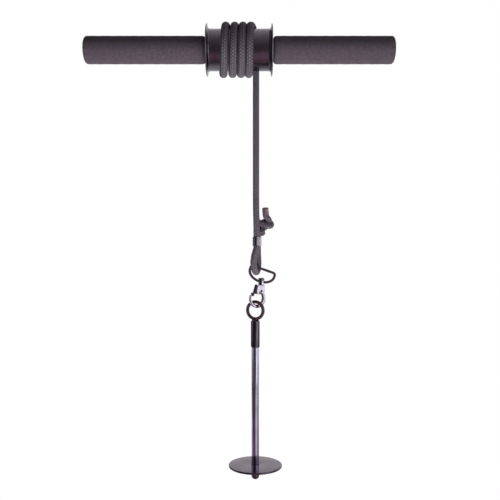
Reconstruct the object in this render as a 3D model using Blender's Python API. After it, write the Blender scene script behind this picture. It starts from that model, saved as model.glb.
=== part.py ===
# Wrist trainer: a roller with two foam grips and a rope drum, a rope that winds on the drum,
# and a loading pin that hangs from the rope on a wire dee, a swivel and a trigger snap hook.
# Metres, +Z up. The origin is the middle of the roller's axis, which runs along X.
# The rope hangs behind the drum, on +Y.

import math

import bmesh
import bpy
from mathutils import Matrix, Vector

# Clearance between pieces that touch, and looser clearance where one turns in the other
GAP = 0.0003
RUN_GAP = 0.0005

# Roller
BAR_R = 0.0125
BAR_WALL = 0.0025
GRIP_R = 0.020
GRIP_LENGTH = 0.1755
GRIP_EDGE = 0.0045
GRIP_GAP = 0.0012
BAR_INSET = 0.0032
PLUG_HEAD = 0.0026
PLUG_SPIGOT = 0.016

# Drum
DRUM_R = 0.0288
DRUM_WALL = 0.0025
FLANGE_X = 0.047
FLANGE_R = 0.0375
FLANGE_T = 0.0022
HUB_T = 0.010
HUB_PIN_R = 0.002
SCREW_COUNT = 3
SCREW_R = 0.0018
SCREW_HEAD_R = 0.0034
SCREW_LENGTH = 0.009

# Rope, and its winding: the turns start at the first pass under the drum and close up to the right
ROPE_R = 0.0048
WIND_START_X = -0.0229
WIND_PITCH = 0.01385
WIND_CLOSING = 0.00053
WIND_LEAN = 0.00135
WIND_POINTS = 24
FALL_X = 0.0245
WIND_LIFT_OFF = 3.75
ENTRY_TURN = -0.22
STOP_LENGTH = 0.010
STOP_NEAR = 0.0006
STOP_CLEAR = 0.0014

# Rope end: the free fall, where it stops stretching, the crimped sleeve, the stopper knot and its tail
FALL_END_Z = -0.200
FERRULE_X = 0.0262
FERRULE_TOP_Z = -0.2712
FERRULE_HEIGHT = 0.0137
FERRULE_WALL = 0.001
FERRULE_YAW = math.radians(10)
KNOT_CENTRE = (0.0410, 0.0360, -0.2525)
KNOT_R = 0.0054
KNOT_WRAP_R = 0.0045
TAIL_X = 0.0383
TAIL_TOP_Z = -0.2268

# Wire dee, tilted about Y so that its straight bar falls to the right
DEE_X = 0.0356
DEE_Z = -0.3202
DEE_TILT = math.radians(19.5)
DEE_HALF = 0.0192
DEE_SHOULDER = 0.006
DEE_DEPTH = 0.0131
DEE_CORNER = 0.0035
DEE_WIRE_R = 0.00195
LOOP_U = -0.0114
LOOP_CLEAR = 0.0006
BARREL_U = 0.0034

# Swivel barrel on the dee's wire, with a stem headed inside the hook
BARREL_R = 0.0047
BARREL_ABOVE = 0.0062
BARREL_BELOW = 0.0042
BARREL_EDGE = 0.0007
STEM_R = 0.0019
STEM_HEAD_R = 0.0028
STEM_HEAD_T = 0.0016

# Trigger snap hook, drawn in its own plane: P to the right of the stem, Z down from the wire
HOOK_YAW = math.radians(32)
HOOK_T = 0.0076
HOOK_TOP_WALL = 0.0026
HOOK_RIGHT_P = 0.0039
HOOK_LEFT_P = -0.0091
HOOK_BODY_LENGTH = 0.0139
BOWL_T = 0.0056
BOWL_P = -0.0076
BOWL_DROP = 0.0251
BOWL_OUTER_R = 0.0134
BOWL_INNER_R = 0.0101
BOWL_INNER_P = -0.0085
BOWL_INNER_RISE = 0.0017
BOWL_NOSE_T = 0.0048
BOWL_ROUND = 2.5
BOWL_STEPS = 22
HOOK_EDGE = 0.0009

# Gate lever, its rivet and its spring
GATE_P = -0.0020
GATE_DROP = 0.0134
GATE_LEAN = 0.18
GATE_THUMB = 0.0100
GATE_T = 0.0070
GATE_EYE_R = 0.0030
GATE_CHEEK_T = 0.0006
GATE_SLOT = 0.0048
RIVET_R = 0.0011
RIVET_HEAD_R = 0.0017
RIVET_HEAD_T = 0.0007
SPRING_WIRE_R = 0.0002
SPRING_COILS = 2
SPRING_POINTS = 10

# Loading pin
EYE_R = 0.0127
EYE_WIRE_R = 0.0025
EYE_YAW = math.radians(-25)
EYE_P = -0.0108
SOCKET_R = 0.00675
SOCKET_LENGTH = 0.039
SOCKET_BORE_DEPTH = 0.024
PIN_R = 0.0057
PIN_LENGTH = 0.1762
STUD_R = 0.004
STUD_UP = 0.022
STUD_DOWN = 0.0145
PLATE_R = 0.040
PLATE_T = 0.003
SEAT_RECESS = 0.001
CAP_R = 0.0059
CAP_LENGTH = 0.019
CAP_BORE_DEPTH = 0.013
CHAMFER = 0.0007

# Sizes that follow
HUB_R = DRUM_R - DRUM_WALL - GAP
BAR_BORE = BAR_R - BAR_WALL
GRIP_START_X = FLANGE_X + FLANGE_T / 2 + GRIP_GAP
GRIP_END_X = GRIP_START_X + GRIP_LENGTH
BAR_END_X = GRIP_END_X - BAR_INSET
HUB_X = FLANGE_X - FLANGE_T / 2 - GAP - HUB_T / 2
SCREW_PITCH_R = (BAR_R + HUB_R) / 2
TURN_R = DRUM_R + GAP + ROPE_R
STOP_R = (DRUM_R - DRUM_WALL - BAR_R - STOP_NEAR - STOP_CLEAR) / 2
ENTRY_BEND = BAR_R + STOP_NEAR + STOP_R
HANG_Y = TURN_R
ROPE_D = 2 * ROPE_R

TO_RIGHT = Matrix.Rotation(math.pi / 2, 4, 'Y')
TO_LEFT = Matrix.Rotation(-math.pi / 2, 4, 'Y')


# Scene and materials

def clear_scene():
    for old in list(bpy.data.objects):
        bpy.data.objects.remove(old, do_unlink=True)


def make_material(name, colour, roughness, metallic):
    material = bpy.data.materials.new(name)
    material.use_nodes = True
    shader = material.node_tree.nodes["Principled BSDF"]
    shader.inputs["Base Color"].default_value = (*colour, 1.0)
    shader.inputs["Roughness"].default_value = roughness
    shader.inputs["Metallic"].default_value = metallic
    return material


def publish(name, data, material, parent=None, place=None):
    if isinstance(data, bpy.types.Mesh):
        data.shade_smooth()
        data.set_sharp_from_angle(angle=math.radians(38))
    if not data.materials:
        data.materials.append(material)
    piece = bpy.data.objects.new(name, data)
    bpy.context.scene.collection.objects.link(piece)
    if parent is not None:
        piece.parent = parent
    if place is not None:
        piece.matrix_local = place
    return piece


def make_empty(name, place, parent=None):
    empty = bpy.data.objects.new(name, None)
    bpy.context.scene.collection.objects.link(empty)
    if parent is None:
        empty.matrix_world = place
    else:
        empty.parent = parent
        empty.matrix_local = parent_world[parent.name].inverted() @ place
    parent_world[name] = place
    return empty


def in_frame_of(parent):
    # For a piece whose mesh is drawn in the world's frame but hangs from an empty
    return parent_world[parent.name].inverted()


parent_world = {}


# Shapes

def mesh_from(bm, name):
    bmesh.ops.recalc_face_normals(bm, faces=bm.faces)
    mesh = bpy.data.meshes.new(name)
    bm.to_mesh(mesh)
    bm.free()
    return mesh


def add_turned(bm, profile, sides, place=Matrix()):
    # A closed section of (radius, height) points turned about local Z. Radius 0 is a pole.
    rings = []
    for radius, height in profile:
        if radius < 1e-7:
            rings.append([bm.verts.new(place @ Vector((0, 0, height)))])
            continue
        ring = []
        for side in range(sides):
            angle = 2 * math.pi * side / sides
            spot = Vector((radius * math.cos(angle), radius * math.sin(angle), height))
            ring.append(bm.verts.new(place @ spot))
        rings.append(ring)
    for one, two in zip(rings, rings[1:] + rings[:1]):
        if len(one) == 1 and len(two) == 1:
            continue
        for side in range(sides):
            after = (side + 1) % sides
            corners = [one[side % len(one)], one[after % len(one)]]
            corners += [two[after % len(two)], two[side % len(two)]]
            bm.faces.new(list(dict.fromkeys(corners)))


def turned(name, profile, sides, place=Matrix()):
    bm = bmesh.new()
    add_turned(bm, profile, sides, place)
    return mesh_from(bm, name)


def corner(radius, height, size, start, end, steps=3):
    # Points of a rounded edge, angles in degrees in the (radius, height) plane
    points = []
    for step in range(steps + 1):
        angle = math.radians(start + (end - start) * step / steps)
        points.append((radius + size * math.cos(angle), height + size * math.sin(angle)))
    return points


def rod_profile(radius, low, high, edge):
    # A solid rod about the axis with a chamfer at both ends
    return [(0, low), (radius - edge, low), (radius, low + edge),
            (radius, high - edge), (radius - edge, high), (0, high)]


def arc(centre, radius, start, end, steps):
    # Points of an arc in a flat outline, angles in degrees
    points = []
    for step in range(steps + 1):
        angle = math.radians(start + (end - start) * step / steps)
        points.append((centre[0] + radius * math.cos(angle), centre[1] + radius * math.sin(angle)))
    return points


def extruded(name, outline, low, high):
    # A flat outline in the local XZ plane, made thick along Y from low to high
    bm = bmesh.new()
    face = bm.faces.new([bm.verts.new((x, low, z)) for x, z in outline])
    grown = bmesh.ops.extrude_face_region(bm, geom=[face])
    verts = [item for item in grown["geom"] if isinstance(item, bmesh.types.BMVert)]
    bmesh.ops.translate(bm, verts=verts, vec=(0, high - low, 0))
    return mesh_from(bm, name)


def tube(name, points, radius, resolution, cyclic=False):
    curve = bpy.data.curves.new(name, 'CURVE')
    curve.dimensions = '3D'
    curve.bevel_depth = radius
    curve.bevel_resolution = resolution
    curve.use_fill_caps = True
    spline = curve.splines.new('POLY')
    spline.points.add(len(points) - 1)
    for point, spot in zip(spline.points, points):
        point.co = (*spot, 1.0)
    spline.use_cyclic_u = cyclic
    return curve


def solid_tube(name, points, radius, resolution):
    # The same tube as a closed mesh, which a cut needs
    holder = bpy.data.objects.new(name, tube(name, points, radius, resolution))
    mesh = bpy.data.meshes.new_from_object(holder)
    bpy.data.objects.remove(holder)
    bm = bmesh.new()
    bm.from_mesh(mesh)
    bmesh.ops.remove_doubles(bm, verts=bm.verts, dist=0.000001)
    return mesh_from(bm, name)


def smooth_route(route, spacing):
    # Even points read from a smooth curve through the route's own points
    spots = [Vector(spot) for spot in route]
    ends = [2 * spots[0] - spots[1]] + spots + [2 * spots[-1] - spots[-2]]
    dense = []
    for before, start, end, after in zip(ends, ends[1:], ends[2:], ends[3:]):
        for step in range(24):
            t = step / 24
            dense.append(0.5 * (2 * start + (end - before) * t
                                + (2 * before - 5 * start + 4 * end - after) * t * t
                                + (3 * start - before - 3 * end + after) * t ** 3))
    dense.append(spots[-1])
    total = sum((b - a).length for a, b in zip(dense, dense[1:]))
    count = max(2, round(total / spacing))
    points = [dense[0]]
    walked = 0.0
    for a, b in zip(dense, dense[1:]):
        step = (b - a).length
        while len(points) < count and walked + step >= total * len(points) / count:
            share = (total * len(points) / count - walked) / step
            points.append(a.lerp(b, share))
        walked += step
    points.append(dense[-1])
    return points


def cut(piece, cutter, operation='DIFFERENCE'):
    # Cuts or joins with another shape, which then serves only as a tool
    cutter.hide_render = True
    cutter.display_type = 'WIRE'
    step = piece.modifiers.new(operation.title(), 'BOOLEAN')
    step.object = cutter
    step.operation = operation
    step.solver = 'EXACT'


def add_bevel(piece, width, segments=2, angle=30):
    bevel = piece.modifiers.new("Edges", 'BEVEL')
    bevel.width = width
    bevel.segments = segments
    bevel.limit_method = 'ANGLE'
    bevel.angle_limit = math.radians(angle)


# Roller: tube, grips and end plugs

def make_bar(steel):
    section = [(BAR_BORE, -BAR_END_X), (BAR_R, -BAR_END_X), (BAR_R, BAR_END_X), (BAR_BORE, BAR_END_X)]
    bar = publish("bar_tube", turned("bar_tube", section, 32, TO_RIGHT), steel)
    for sign in (-1, 1):
        cut(bar, pin_hole(sign, steel))
    return bar


def pin_hole(sign, material):
    profile = rod_profile(HUB_PIN_R + GAP, -HUB_R * 1.2, HUB_R * 1.2, CHAMFER / 2)
    mesh = turned("hub_pin_hole", profile, 16, Matrix.Translation((sign * HUB_X, 0, 0)))
    return publish("hub_pin_hole_cutter", mesh, material)


def make_grip(side, turn, foam):
    bore = BAR_R + GAP
    section = [(bore, GRIP_START_X)]
    section += corner(GRIP_R - GRIP_EDGE, GRIP_START_X + GRIP_EDGE, GRIP_EDGE, -90, 0, 4)
    section += corner(GRIP_R - GRIP_EDGE, GRIP_END_X - GRIP_EDGE, GRIP_EDGE, 0, 90, 4)
    section += [(bore, GRIP_END_X)]
    publish("grip_" + side, turned("grip_" + side, section, 32, turn), foam)


def make_end_plug(side, turn, plastic):
    spigot = BAR_BORE - GAP
    start = BAR_END_X + GAP
    section = [(0, start - PLUG_SPIGOT), (spigot - CHAMFER, start - PLUG_SPIGOT),
               (spigot, start - PLUG_SPIGOT + CHAMFER), (spigot, start), (BAR_R, start)]
    section += corner(BAR_R - CHAMFER, start + PLUG_HEAD - CHAMFER, CHAMFER, 0, 90, 3)
    section += [(0, start + PLUG_HEAD)]
    publish("end_plug_" + side, turned("end_plug_" + side, section, 24, turn), plastic)


# Drum: shell, two flanges, and hubs that carry them on the tube

def make_drum_shell(chrome):
    half = FLANGE_X - FLANGE_T / 2 - GAP
    inner = DRUM_R - DRUM_WALL
    section = [(inner, -half), (DRUM_R, -half), (DRUM_R, half), (inner, half)]
    shell = publish("drum_shell", turned("drum_shell", section, 40, TO_RIGHT), chrome)
    mouth = solid_tube("rope_mouth", entry_points() + [turn_point(ENTRY_TURN)], ROPE_R + RUN_GAP, 3)
    cut(shell, publish("rope_mouth_cutter", mouth, chrome))


def screw_places():
    for number in range(SCREW_COUNT):
        angle = math.radians(90) + 2 * math.pi * number / SCREW_COUNT
        yield Vector((SCREW_PITCH_R * math.cos(angle), SCREW_PITCH_R * math.sin(angle), 0))


def screw_profile(grow):
    # Countersunk head flush with the flange's outer face, then the shank into the hub
    face = FLANGE_X + FLANGE_T / 2 - 0.0001
    head = SCREW_HEAD_R - SCREW_R
    return [(0, face - SCREW_LENGTH - grow), (SCREW_R + grow, face - SCREW_LENGTH - grow),
            (SCREW_R + grow, face - head), (SCREW_HEAD_R + grow, face + grow), (0, face + grow)]


def screw_holes(name, turn):
    bm = bmesh.new()
    for spot in screw_places():
        add_turned(bm, screw_profile(GAP), 12, turn @ Matrix.Translation(spot))
    return mesh_from(bm, name)


def make_flange(side, turn, chrome):
    half = FLANGE_T / 2
    section = [(BAR_R + GAP, FLANGE_X - half)]
    section += corner(FLANGE_R - half, FLANGE_X, half, -90, 90, 4)
    section += [(BAR_R + GAP, FLANGE_X + half)]
    flange = publish("flange_" + side, turned("flange_" + side, section, 48, turn), chrome)
    holes = screw_holes("flange_screw_holes", turn)
    cut(flange, publish("flange_hole_cutter_" + side, holes, chrome))


def make_hub(side, sign, turn, steel):
    low, high = HUB_X - HUB_T / 2, HUB_X + HUB_T / 2
    section = [(BAR_R + GAP, low), (HUB_R, low), (HUB_R, high), (BAR_R + GAP, high)]
    hub = publish("hub_" + side, turned("hub_" + side, section, 32, turn), steel)
    holes = screw_holes("hub_screw_holes", turn)
    cut(hub, publish("hub_hole_cutter_" + side, holes, steel))
    cut(hub, pin_hole(sign, steel))


def make_hub_fasteners(side, sign, turn, steel):
    screw = turned("flange_screw", screw_profile(0), 12)
    for number, spot in enumerate(screw_places(), 1):
        publish(f"flange_screw_{side}_{number}", screw, steel, None, turn @ Matrix.Translation(spot))
    reach = HUB_R - 2 * GAP
    place = Matrix.Translation((sign * HUB_X, 0, 0))
    pin = turned("hub_pin_" + side, rod_profile(HUB_PIN_R, -reach, reach, CHAMFER / 2), 12, place)
    publish("hub_pin_" + side, pin, steel)


# Rope: its route round the drum, and the free end

def turn_point(turn):
    # Turn 0 is the first pass under the drum. A turn climbs in front and comes down behind.
    angle = 2 * math.pi * turn
    along = WIND_START_X + WIND_PITCH * turn - WIND_CLOSING * turn * turn
    along -= WIND_LEAN * (1 - math.cos(angle))
    late = min(1.0, max(0.0, (turn - WIND_LIFT_OFF + 0.25) / 0.25))
    along += (FALL_X - along) * late * late * (3 - 2 * late)
    return Vector((along, -TURN_R * math.sin(angle), -TURN_R * math.cos(angle)))


def entry_points():
    # From inside the drum, straight for one diameter, then round a bend on to the first turn
    angle = 2 * math.pi * ENTRY_TURN
    start = turn_point(ENTRY_TURN)
    forward = Vector((0, -math.cos(angle), math.sin(angle)))
    inward = Vector((0, math.sin(angle), math.cos(angle)))
    middle = start + ENTRY_BEND * inward
    points = [middle - ENTRY_BEND * forward + share * ROPE_D * inward for share in (1.0, 0.5)]
    for step in range(8):
        bend = math.pi / 2 * (1 - step / 8)
        points.append(middle - ENTRY_BEND * (inward * math.cos(bend) + forward * math.sin(bend)))
    return points


def winding_points():
    points = entry_points()
    count = round((WIND_LIFT_OFF - ENTRY_TURN) * WIND_POINTS)
    for step in range(count + 1):
        points.append(turn_point(ENTRY_TURN + (WIND_LIFT_OFF - ENTRY_TURN) * step / count))
    last = points[-1]
    points.append(last + Vector((0, 0, -ROPE_R)))
    points.append(last + Vector((0, 0, -ROPE_D)))
    return points


def least_gap(points, radius, skip):
    # Least clear distance of a tube to itself, over points that are not neighbours on it
    least = 1.0
    for first in range(len(points)):
        for second in range(first + skip, len(points)):
            least = min(least, (points[first] - points[second]).length - 2 * radius)
    return least


def make_winding(rope):
    points = winding_points()
    publish("rope_winding", tube("rope_winding", points, ROPE_R, 1), rope)
    gap = least_gap(points, ROPE_R, WIND_POINTS // 2)
    print("rope_winding least gap to itself", round(gap * 1000, 2), "mm")


def make_rope_stop(steel):
    points = entry_points()
    along = (points[0] - points[1]).normalized()
    start = points[0] + GAP * along
    place = Matrix.Translation(start) @ along.to_track_quat('Z', 'Y').to_matrix().to_4x4()
    stop = turned("rope_stop", rod_profile(STOP_R, 0, STOP_LENGTH, CHAMFER), 20, place)
    publish("rope_stop", stop, steel)


def make_fall(rope):
    top = turn_point(WIND_LIFT_OFF) + Vector((0, 0, -ROPE_D - GAP))
    low = Vector((top.x, top.y, FALL_END_Z))
    points = [top, top.lerp(low, 0.5), low]
    publish("rope_fall", tube("rope_fall", points, ROPE_R, 2), rope, rope_end, in_frame_of(rope_end))


def channel(side):
    # Middle of one of the two rope channels in the crimped sleeve: front is -1, back is 1
    reach = ROPE_R + GAP / 2
    return (FERRULE_X + side * reach * math.sin(FERRULE_YAW), HANG_Y + side * reach * math.cos(FERRULE_YAW))


def dee_point(along, down):
    # A point of the dee's own plane, in the world
    x = DEE_X + along * math.cos(DEE_TILT) - down * math.sin(DEE_TILT)
    z = DEE_Z - along * math.sin(DEE_TILT) - down * math.cos(DEE_TILT)
    return Vector((x, HANG_Y, z))


def rope_end_route():
    # Hand-chosen points: down past the knot, through the sleeve, under the dee and up to the knot
    start = turn_point(WIND_LIFT_OFF)
    front_x, front_y = channel(-1)
    back_x, back_y = channel(1)
    hung = dee_point(LOOP_U, 0)
    reach = DEE_WIRE_R + LOOP_CLEAR + ROPE_R
    top = FERRULE_TOP_Z
    foot = FERRULE_TOP_Z - FERRULE_HEIGHT
    return [
        (start.x, start.y, FALL_END_Z - GAP),
        (start.x, start.y, FALL_END_Z - 0.014),
        (start.x + 0.0002, start.y - 0.0018, FALL_END_Z - 0.032),
        (front_x - 0.0001, front_y + 0.0012, FALL_END_Z - 0.054),
        (front_x, front_y, top + 0.004),
        (front_x, front_y, foot - 0.001),
        (hung.x - 0.0027, hung.y - reach, hung.z + 0.018),
        (hung.x - 0.0042, hung.y - reach - 0.0005, hung.z + 0.006),
        (hung.x - 0.0025, hung.y - reach * 0.80, hung.z - reach * 0.66),
        (hung.x, hung.y, hung.z - reach),
        (hung.x + 0.0020, hung.y + reach * 0.80, hung.z - reach * 0.66),
        (hung.x + 0.0032, hung.y + reach + 0.0005, hung.z + 0.006),
        (hung.x + 0.0026, hung.y + reach, hung.z + 0.018),
        (back_x, back_y, foot - 0.001),
        (back_x, back_y, top + 0.0005),
        (back_x + 0.0020, back_y - 0.0004, top + 0.0056),
        (KNOT_CENTRE[0] - 0.0085, KNOT_CENTRE[1] + 0.0006, KNOT_CENTRE[2] - 0.0092),
    ]


def tail_ends():
    # The rope's cut end, and where its tail comes out of the knot
    return Vector((TAIL_X, HANG_Y + 0.0012, TAIL_TOP_Z)), Vector(KNOT_CENTRE) + Vector((-0.0016, 0.0, 0.0098))


def make_rope_end(rope):
    points = smooth_route(rope_end_route(), 0.0036)
    publish("rope_loop", tube("rope_loop", points, ROPE_R, 2), rope, rope_end, in_frame_of(rope_end))
    top, foot = tail_ends()
    tail = [top, top.lerp(foot, 0.35), top.lerp(foot, 0.7), foot]
    publish("rope_tail", tube("rope_tail", tail, ROPE_R, 2), rope, rope_end, in_frame_of(rope_end))


def make_knot(rope):
    # An overhand knot as two wraps of rope drawn tight round each other
    middle = Vector(KNOT_CENTRE)
    parts = []
    for number, (lift, tilt, lean) in enumerate(((0.0042, 24, 12), (-0.0042, -20, -10))):
        place = Matrix.Translation(middle + Vector((0.0008 * (1 - 2 * number), 0, lift)))
        place = place @ Matrix.Rotation(math.radians(tilt), 4, 'Y')
        place = place @ Matrix.Rotation(math.radians(lean), 4, 'X')
        wrap = arc((KNOT_R, 0), KNOT_WRAP_R, 0, 360 - 360 / 10, 9)
        parts.append(turned("knot_wrap", wrap, 20, place))
    core = turned("knot_core", rod_profile(KNOT_R, -0.0072, 0.0072, 0.002), 16,
                  Matrix.Translation(middle) @ Matrix.Rotation(math.radians(8), 4, 'Y'))
    keep = in_frame_of(rope_end)
    knot = publish("rope_knot", parts[0], rope, rope_end, keep)
    cut(knot, publish("knot_wrap_cutter", parts[1], rope), 'UNION')
    cut(knot, publish("knot_core_cutter", core, rope), 'UNION')
    # The rope's own ends meet the knot square, so the lump stands clear of both
    top, foot = tail_ends()
    beyond = foot + (foot - top).normalized() * GAP
    for route in (smooth_route(rope_end_route(), 0.0036)[-7:], [top, foot, beyond]):
        cut(knot, publish("knot_end_cutter", solid_tube("knot_end", route, ROPE_R + GAP, 2), rope))


def stadium(radius, half_length, steps):
    return arc((half_length, 0), radius, -90, 90, steps) + arc((-half_length, 0), radius, 90, 270, steps)


def make_ferrule(alloy):
    # An oval sleeve crimped round both legs of the rope
    spacing = ROPE_R + GAP / 2
    inner = ROPE_R + GAP
    turn = Matrix.Rotation(math.pi / 2 - FERRULE_YAW, 4, 'Z') @ Matrix.Rotation(math.pi / 2, 4, 'X')
    place = Matrix.Translation((FERRULE_X, HANG_Y, FERRULE_TOP_Z)) @ turn
    shell = extruded("ferrule", stadium(inner + FERRULE_WALL, spacing, 10), -FERRULE_HEIGHT, 0)
    bore = extruded("ferrule_bore", stadium(inner, spacing, 10), -FERRULE_HEIGHT * 1.2, FERRULE_HEIGHT * 0.2)
    ferrule = publish("ferrule", shell, alloy, rope_end, in_frame_of(rope_end) @ place)
    cut(ferrule, publish("ferrule_bore_cutter", bore, alloy, None, place))


# Wire dee and swivel barrel

def dee_curve(along):
    # Depth of the dee's bowed side below its bar
    return DEE_SHOULDER + DEE_DEPTH * math.sqrt(max(0.0, 1 - (along / DEE_HALF) ** 2))


def make_dee(black):
    inset = DEE_HALF - DEE_CORNER
    outline = arc((-inset, DEE_CORNER), DEE_CORNER, 180, 270, 4)
    outline += [(inset * share, 0.0) for share in (-0.5, 0.0, 0.5)]
    outline += arc((inset, DEE_CORNER), DEE_CORNER, 270, 360, 4)
    steps = 22
    for step in range(steps + 1):
        angle = math.pi * step / steps
        outline.append((DEE_HALF * math.cos(angle), DEE_SHOULDER + DEE_DEPTH * math.sin(angle)))
    points = [dee_point(along, down) for along, down in outline]
    publish("d_ring", tube("d_ring", points, DEE_WIRE_R, 2, True), black, dee, in_frame_of(dee))


def wire_direction():
    # Direction of the dee's wire where the barrel hangs on it
    step = 0.0002
    one = dee_point(BARREL_U - step, dee_curve(BARREL_U - step))
    two = dee_point(BARREL_U + step, dee_curve(BARREL_U + step))
    return (two - one).normalized()


def make_barrel(chrome):
    foot = -BARREL_BELOW
    head_top = foot - HOOK_TOP_WALL - 2 * GAP
    section = [(0, head_top - STEM_HEAD_T), (STEM_HEAD_R - BARREL_EDGE / 2, head_top - STEM_HEAD_T),
               (STEM_HEAD_R, head_top - STEM_HEAD_T + BARREL_EDGE / 2), (STEM_HEAD_R, head_top),
               (STEM_R, head_top), (STEM_R, foot), (BARREL_R - BARREL_EDGE, foot),
               (BARREL_R, foot + BARREL_EDGE)]
    section += corner(BARREL_R - 2 * BARREL_EDGE, BARREL_ABOVE - 2 * BARREL_EDGE, 2 * BARREL_EDGE, 0, 90, 3)
    section += [(0, BARREL_ABOVE)]
    barrel = publish("swivel_barrel", turned("swivel_barrel", section, 24), chrome, barrel_hang)
    along = wire_direction()
    turn = along.to_track_quat('Z', 'Y').to_matrix().to_4x4()
    through = rod_profile(DEE_WIRE_R + RUN_GAP, -2 * BARREL_R, 2 * BARREL_R, CHAMFER)
    hole = turned("wire_hole", through, 20, turn)
    cut(barrel, publish("wire_hole_cutter", hole, chrome, barrel_hang))


# Trigger snap hook, in its own plane with its origin on the wire

def left_edge(height):
    # The body's open side leans in towards the stem. Height counts from the rivet.
    return HOOK_LEFT_P + GATE_LEAN * height


def block_top():
    return -BARREL_BELOW - GAP


def left_corners():
    # Down the open side of the block, as one run of outline points that ends at the stem's end
    top = block_top()
    under = top - HOOK_BODY_LENGTH
    rise = top + GATE_DROP
    return [(-0.0018, under), (GATE_P - 0.0046, under), (HOOK_LEFT_P, -GATE_DROP),
            (left_edge(rise - 0.0016), top - 0.0016), (left_edge(rise) + 0.0014, top)]


def bowl_sections(steps):
    # (middle, way across the wall, half wall, half thickness) from inside the block to the nose
    start = Vector((0.0018, 0, block_top() - HOOK_BODY_LENGTH + 0.0022))
    sections = [(start, Vector((1, 0, 0)), 0.0018, BOWL_T / 2)]
    for step in range(steps + 1):
        angle = math.radians(30 - 215 * step / steps)
        ray = Vector((math.cos(angle), 0, math.sin(angle)))
        outer = Vector((BOWL_P, 0, -BOWL_DROP)) + BOWL_OUTER_R * ray
        inner = Vector((BOWL_INNER_P, 0, -BOWL_DROP + BOWL_INNER_RISE)) + BOWL_INNER_R * ray
        across = (outer - inner).normalized()
        late = max(0.0, 2 * step / steps - 1)
        depth = BOWL_T / 2 + (BOWL_NOSE_T - BOWL_T) / 2 * late
        sections.append(((outer + inner) / 2, across, (outer - inner).length / 2, depth))
    middle, across, half, depth = sections[-1]
    along = Vector((-across.z, 0, across.x))
    if along.z < 0:
        along = -along
    for lift, share in ((0.55, 0.84), (0.90, 0.45)):
        sections.append((middle + along * half * lift, across, half * share, depth * (0.4 + 0.6 * share)))
    return sections, middle + along * half


def bowl_ring(section, sides):
    # Points round one section of the bowl, a rounded oblong
    middle, across, half, depth = section
    ring = []
    for side in range(sides):
        angle = 2 * math.pi * (side + 0.5) / sides
        wide = math.copysign(abs(math.cos(angle)) ** (2 / BOWL_ROUND), math.cos(angle))
        deep = math.copysign(abs(math.sin(angle)) ** (2 / BOWL_ROUND), math.sin(angle))
        ring.append(middle + across * half * wide + Vector((0, depth * deep, 0)))
    return ring


def bowl_mesh(sides):
    sections, nose = bowl_sections(BOWL_STEPS)
    bm = bmesh.new()
    rings = [[bm.verts.new(spot) for spot in bowl_ring(section, sides)] for section in sections]
    bm.faces.new(rings[0])
    tip = bm.verts.new(nose)
    for side in range(sides):
        after = (side + 1) % sides
        for one, two in zip(rings, rings[1:]):
            bm.faces.new((one[side], one[after], two[after], two[side]))
        bm.faces.new((rings[-1][side], rings[-1][after], tip))
    return mesh_from(bm, "hook_bowl")


def body_outline():
    top = block_top()
    under = top - HOOK_BODY_LENGTH
    return [(HOOK_RIGHT_P - 0.001, top), (HOOK_RIGHT_P, top - 0.0012), (HOOK_RIGHT_P, under + 0.0022),
            (HOOK_RIGHT_P - 0.0022, under + 0.0002)] + left_corners()


def make_hook(chrome):
    top = block_top()
    hook = publish("hook_body", extruded("hook_body", body_outline(), -HOOK_T / 2, HOOK_T / 2), chrome, swivel)
    add_bevel(hook, HOOK_EDGE)
    cut(hook, publish("hook_bowl_cutter", bowl_mesh(12), chrome, swivel), 'UNION')
    # Slot for the lever's cheeks, pocket for the stem's head, and the holes for stem and rivet
    eye = GATE_EYE_R + RUN_GAP
    pivot = (GATE_P, -GATE_DROP)
    slot = arc(pivot, eye, 90, -90, 8)
    slot += [(pivot[0] - 0.0016, pivot[1] - 0.010), (pivot[0] - 0.012, pivot[1] - 0.010)]
    slot += [(pivot[0] - 0.012, pivot[1] + eye)]
    half = GATE_SLOT / 2
    cut(hook, publish("gate_slot_cutter", extruded("gate_slot", slot, -half, half), chrome, swivel))
    roof = top - HOOK_TOP_WALL
    pocket = rod_profile(STEM_HEAD_R + GAP, -GATE_DROP + eye / 2, roof, CHAMFER / 4)
    cut(hook, publish("stem_pocket_cutter", turned("stem_pocket", pocket, 20), chrome, swivel))
    bore = rod_profile(STEM_R + GAP, roof - 0.001, top + 0.001, CHAMFER / 4)
    cut(hook, publish("stem_bore_cutter", turned("stem_bore", bore, 16), chrome, swivel))
    cut(hook, rivet_hole(chrome, swivel, HOOK_T))


def across(point):
    # Local Z of a turned piece laid along Y, through a point of the hook's plane
    return Matrix.Translation((point[0], 0, point[1])) @ Matrix.Rotation(math.pi / 2, 4, 'X')


def rivet_hole(material, parent, reach):
    centre = (GATE_P, -GATE_DROP) if parent is swivel else (0, 0)
    hole = turned("rivet_hole", rod_profile(RIVET_R + GAP, -reach, reach, CHAMFER / 4), 16, across(centre))
    return publish("rivet_hole_cutter", hole, material, parent)


def make_rivet(steel):
    face = HOOK_T / 2 + GAP
    head = [(RIVET_HEAD_R, face), (RIVET_HEAD_R, face + RIVET_HEAD_T / 2),
            (RIVET_HEAD_R * 0.6, face + RIVET_HEAD_T), (0, face + RIVET_HEAD_T)]
    section = [(radius, -height) for radius, height in reversed(head)]
    section += [(RIVET_R, -face), (RIVET_R, face)] + head
    rivet = turned("gate_rivet", section, 16, across((GATE_P, -GATE_DROP)))
    publish("gate_rivet", rivet, steel, swivel)


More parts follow.
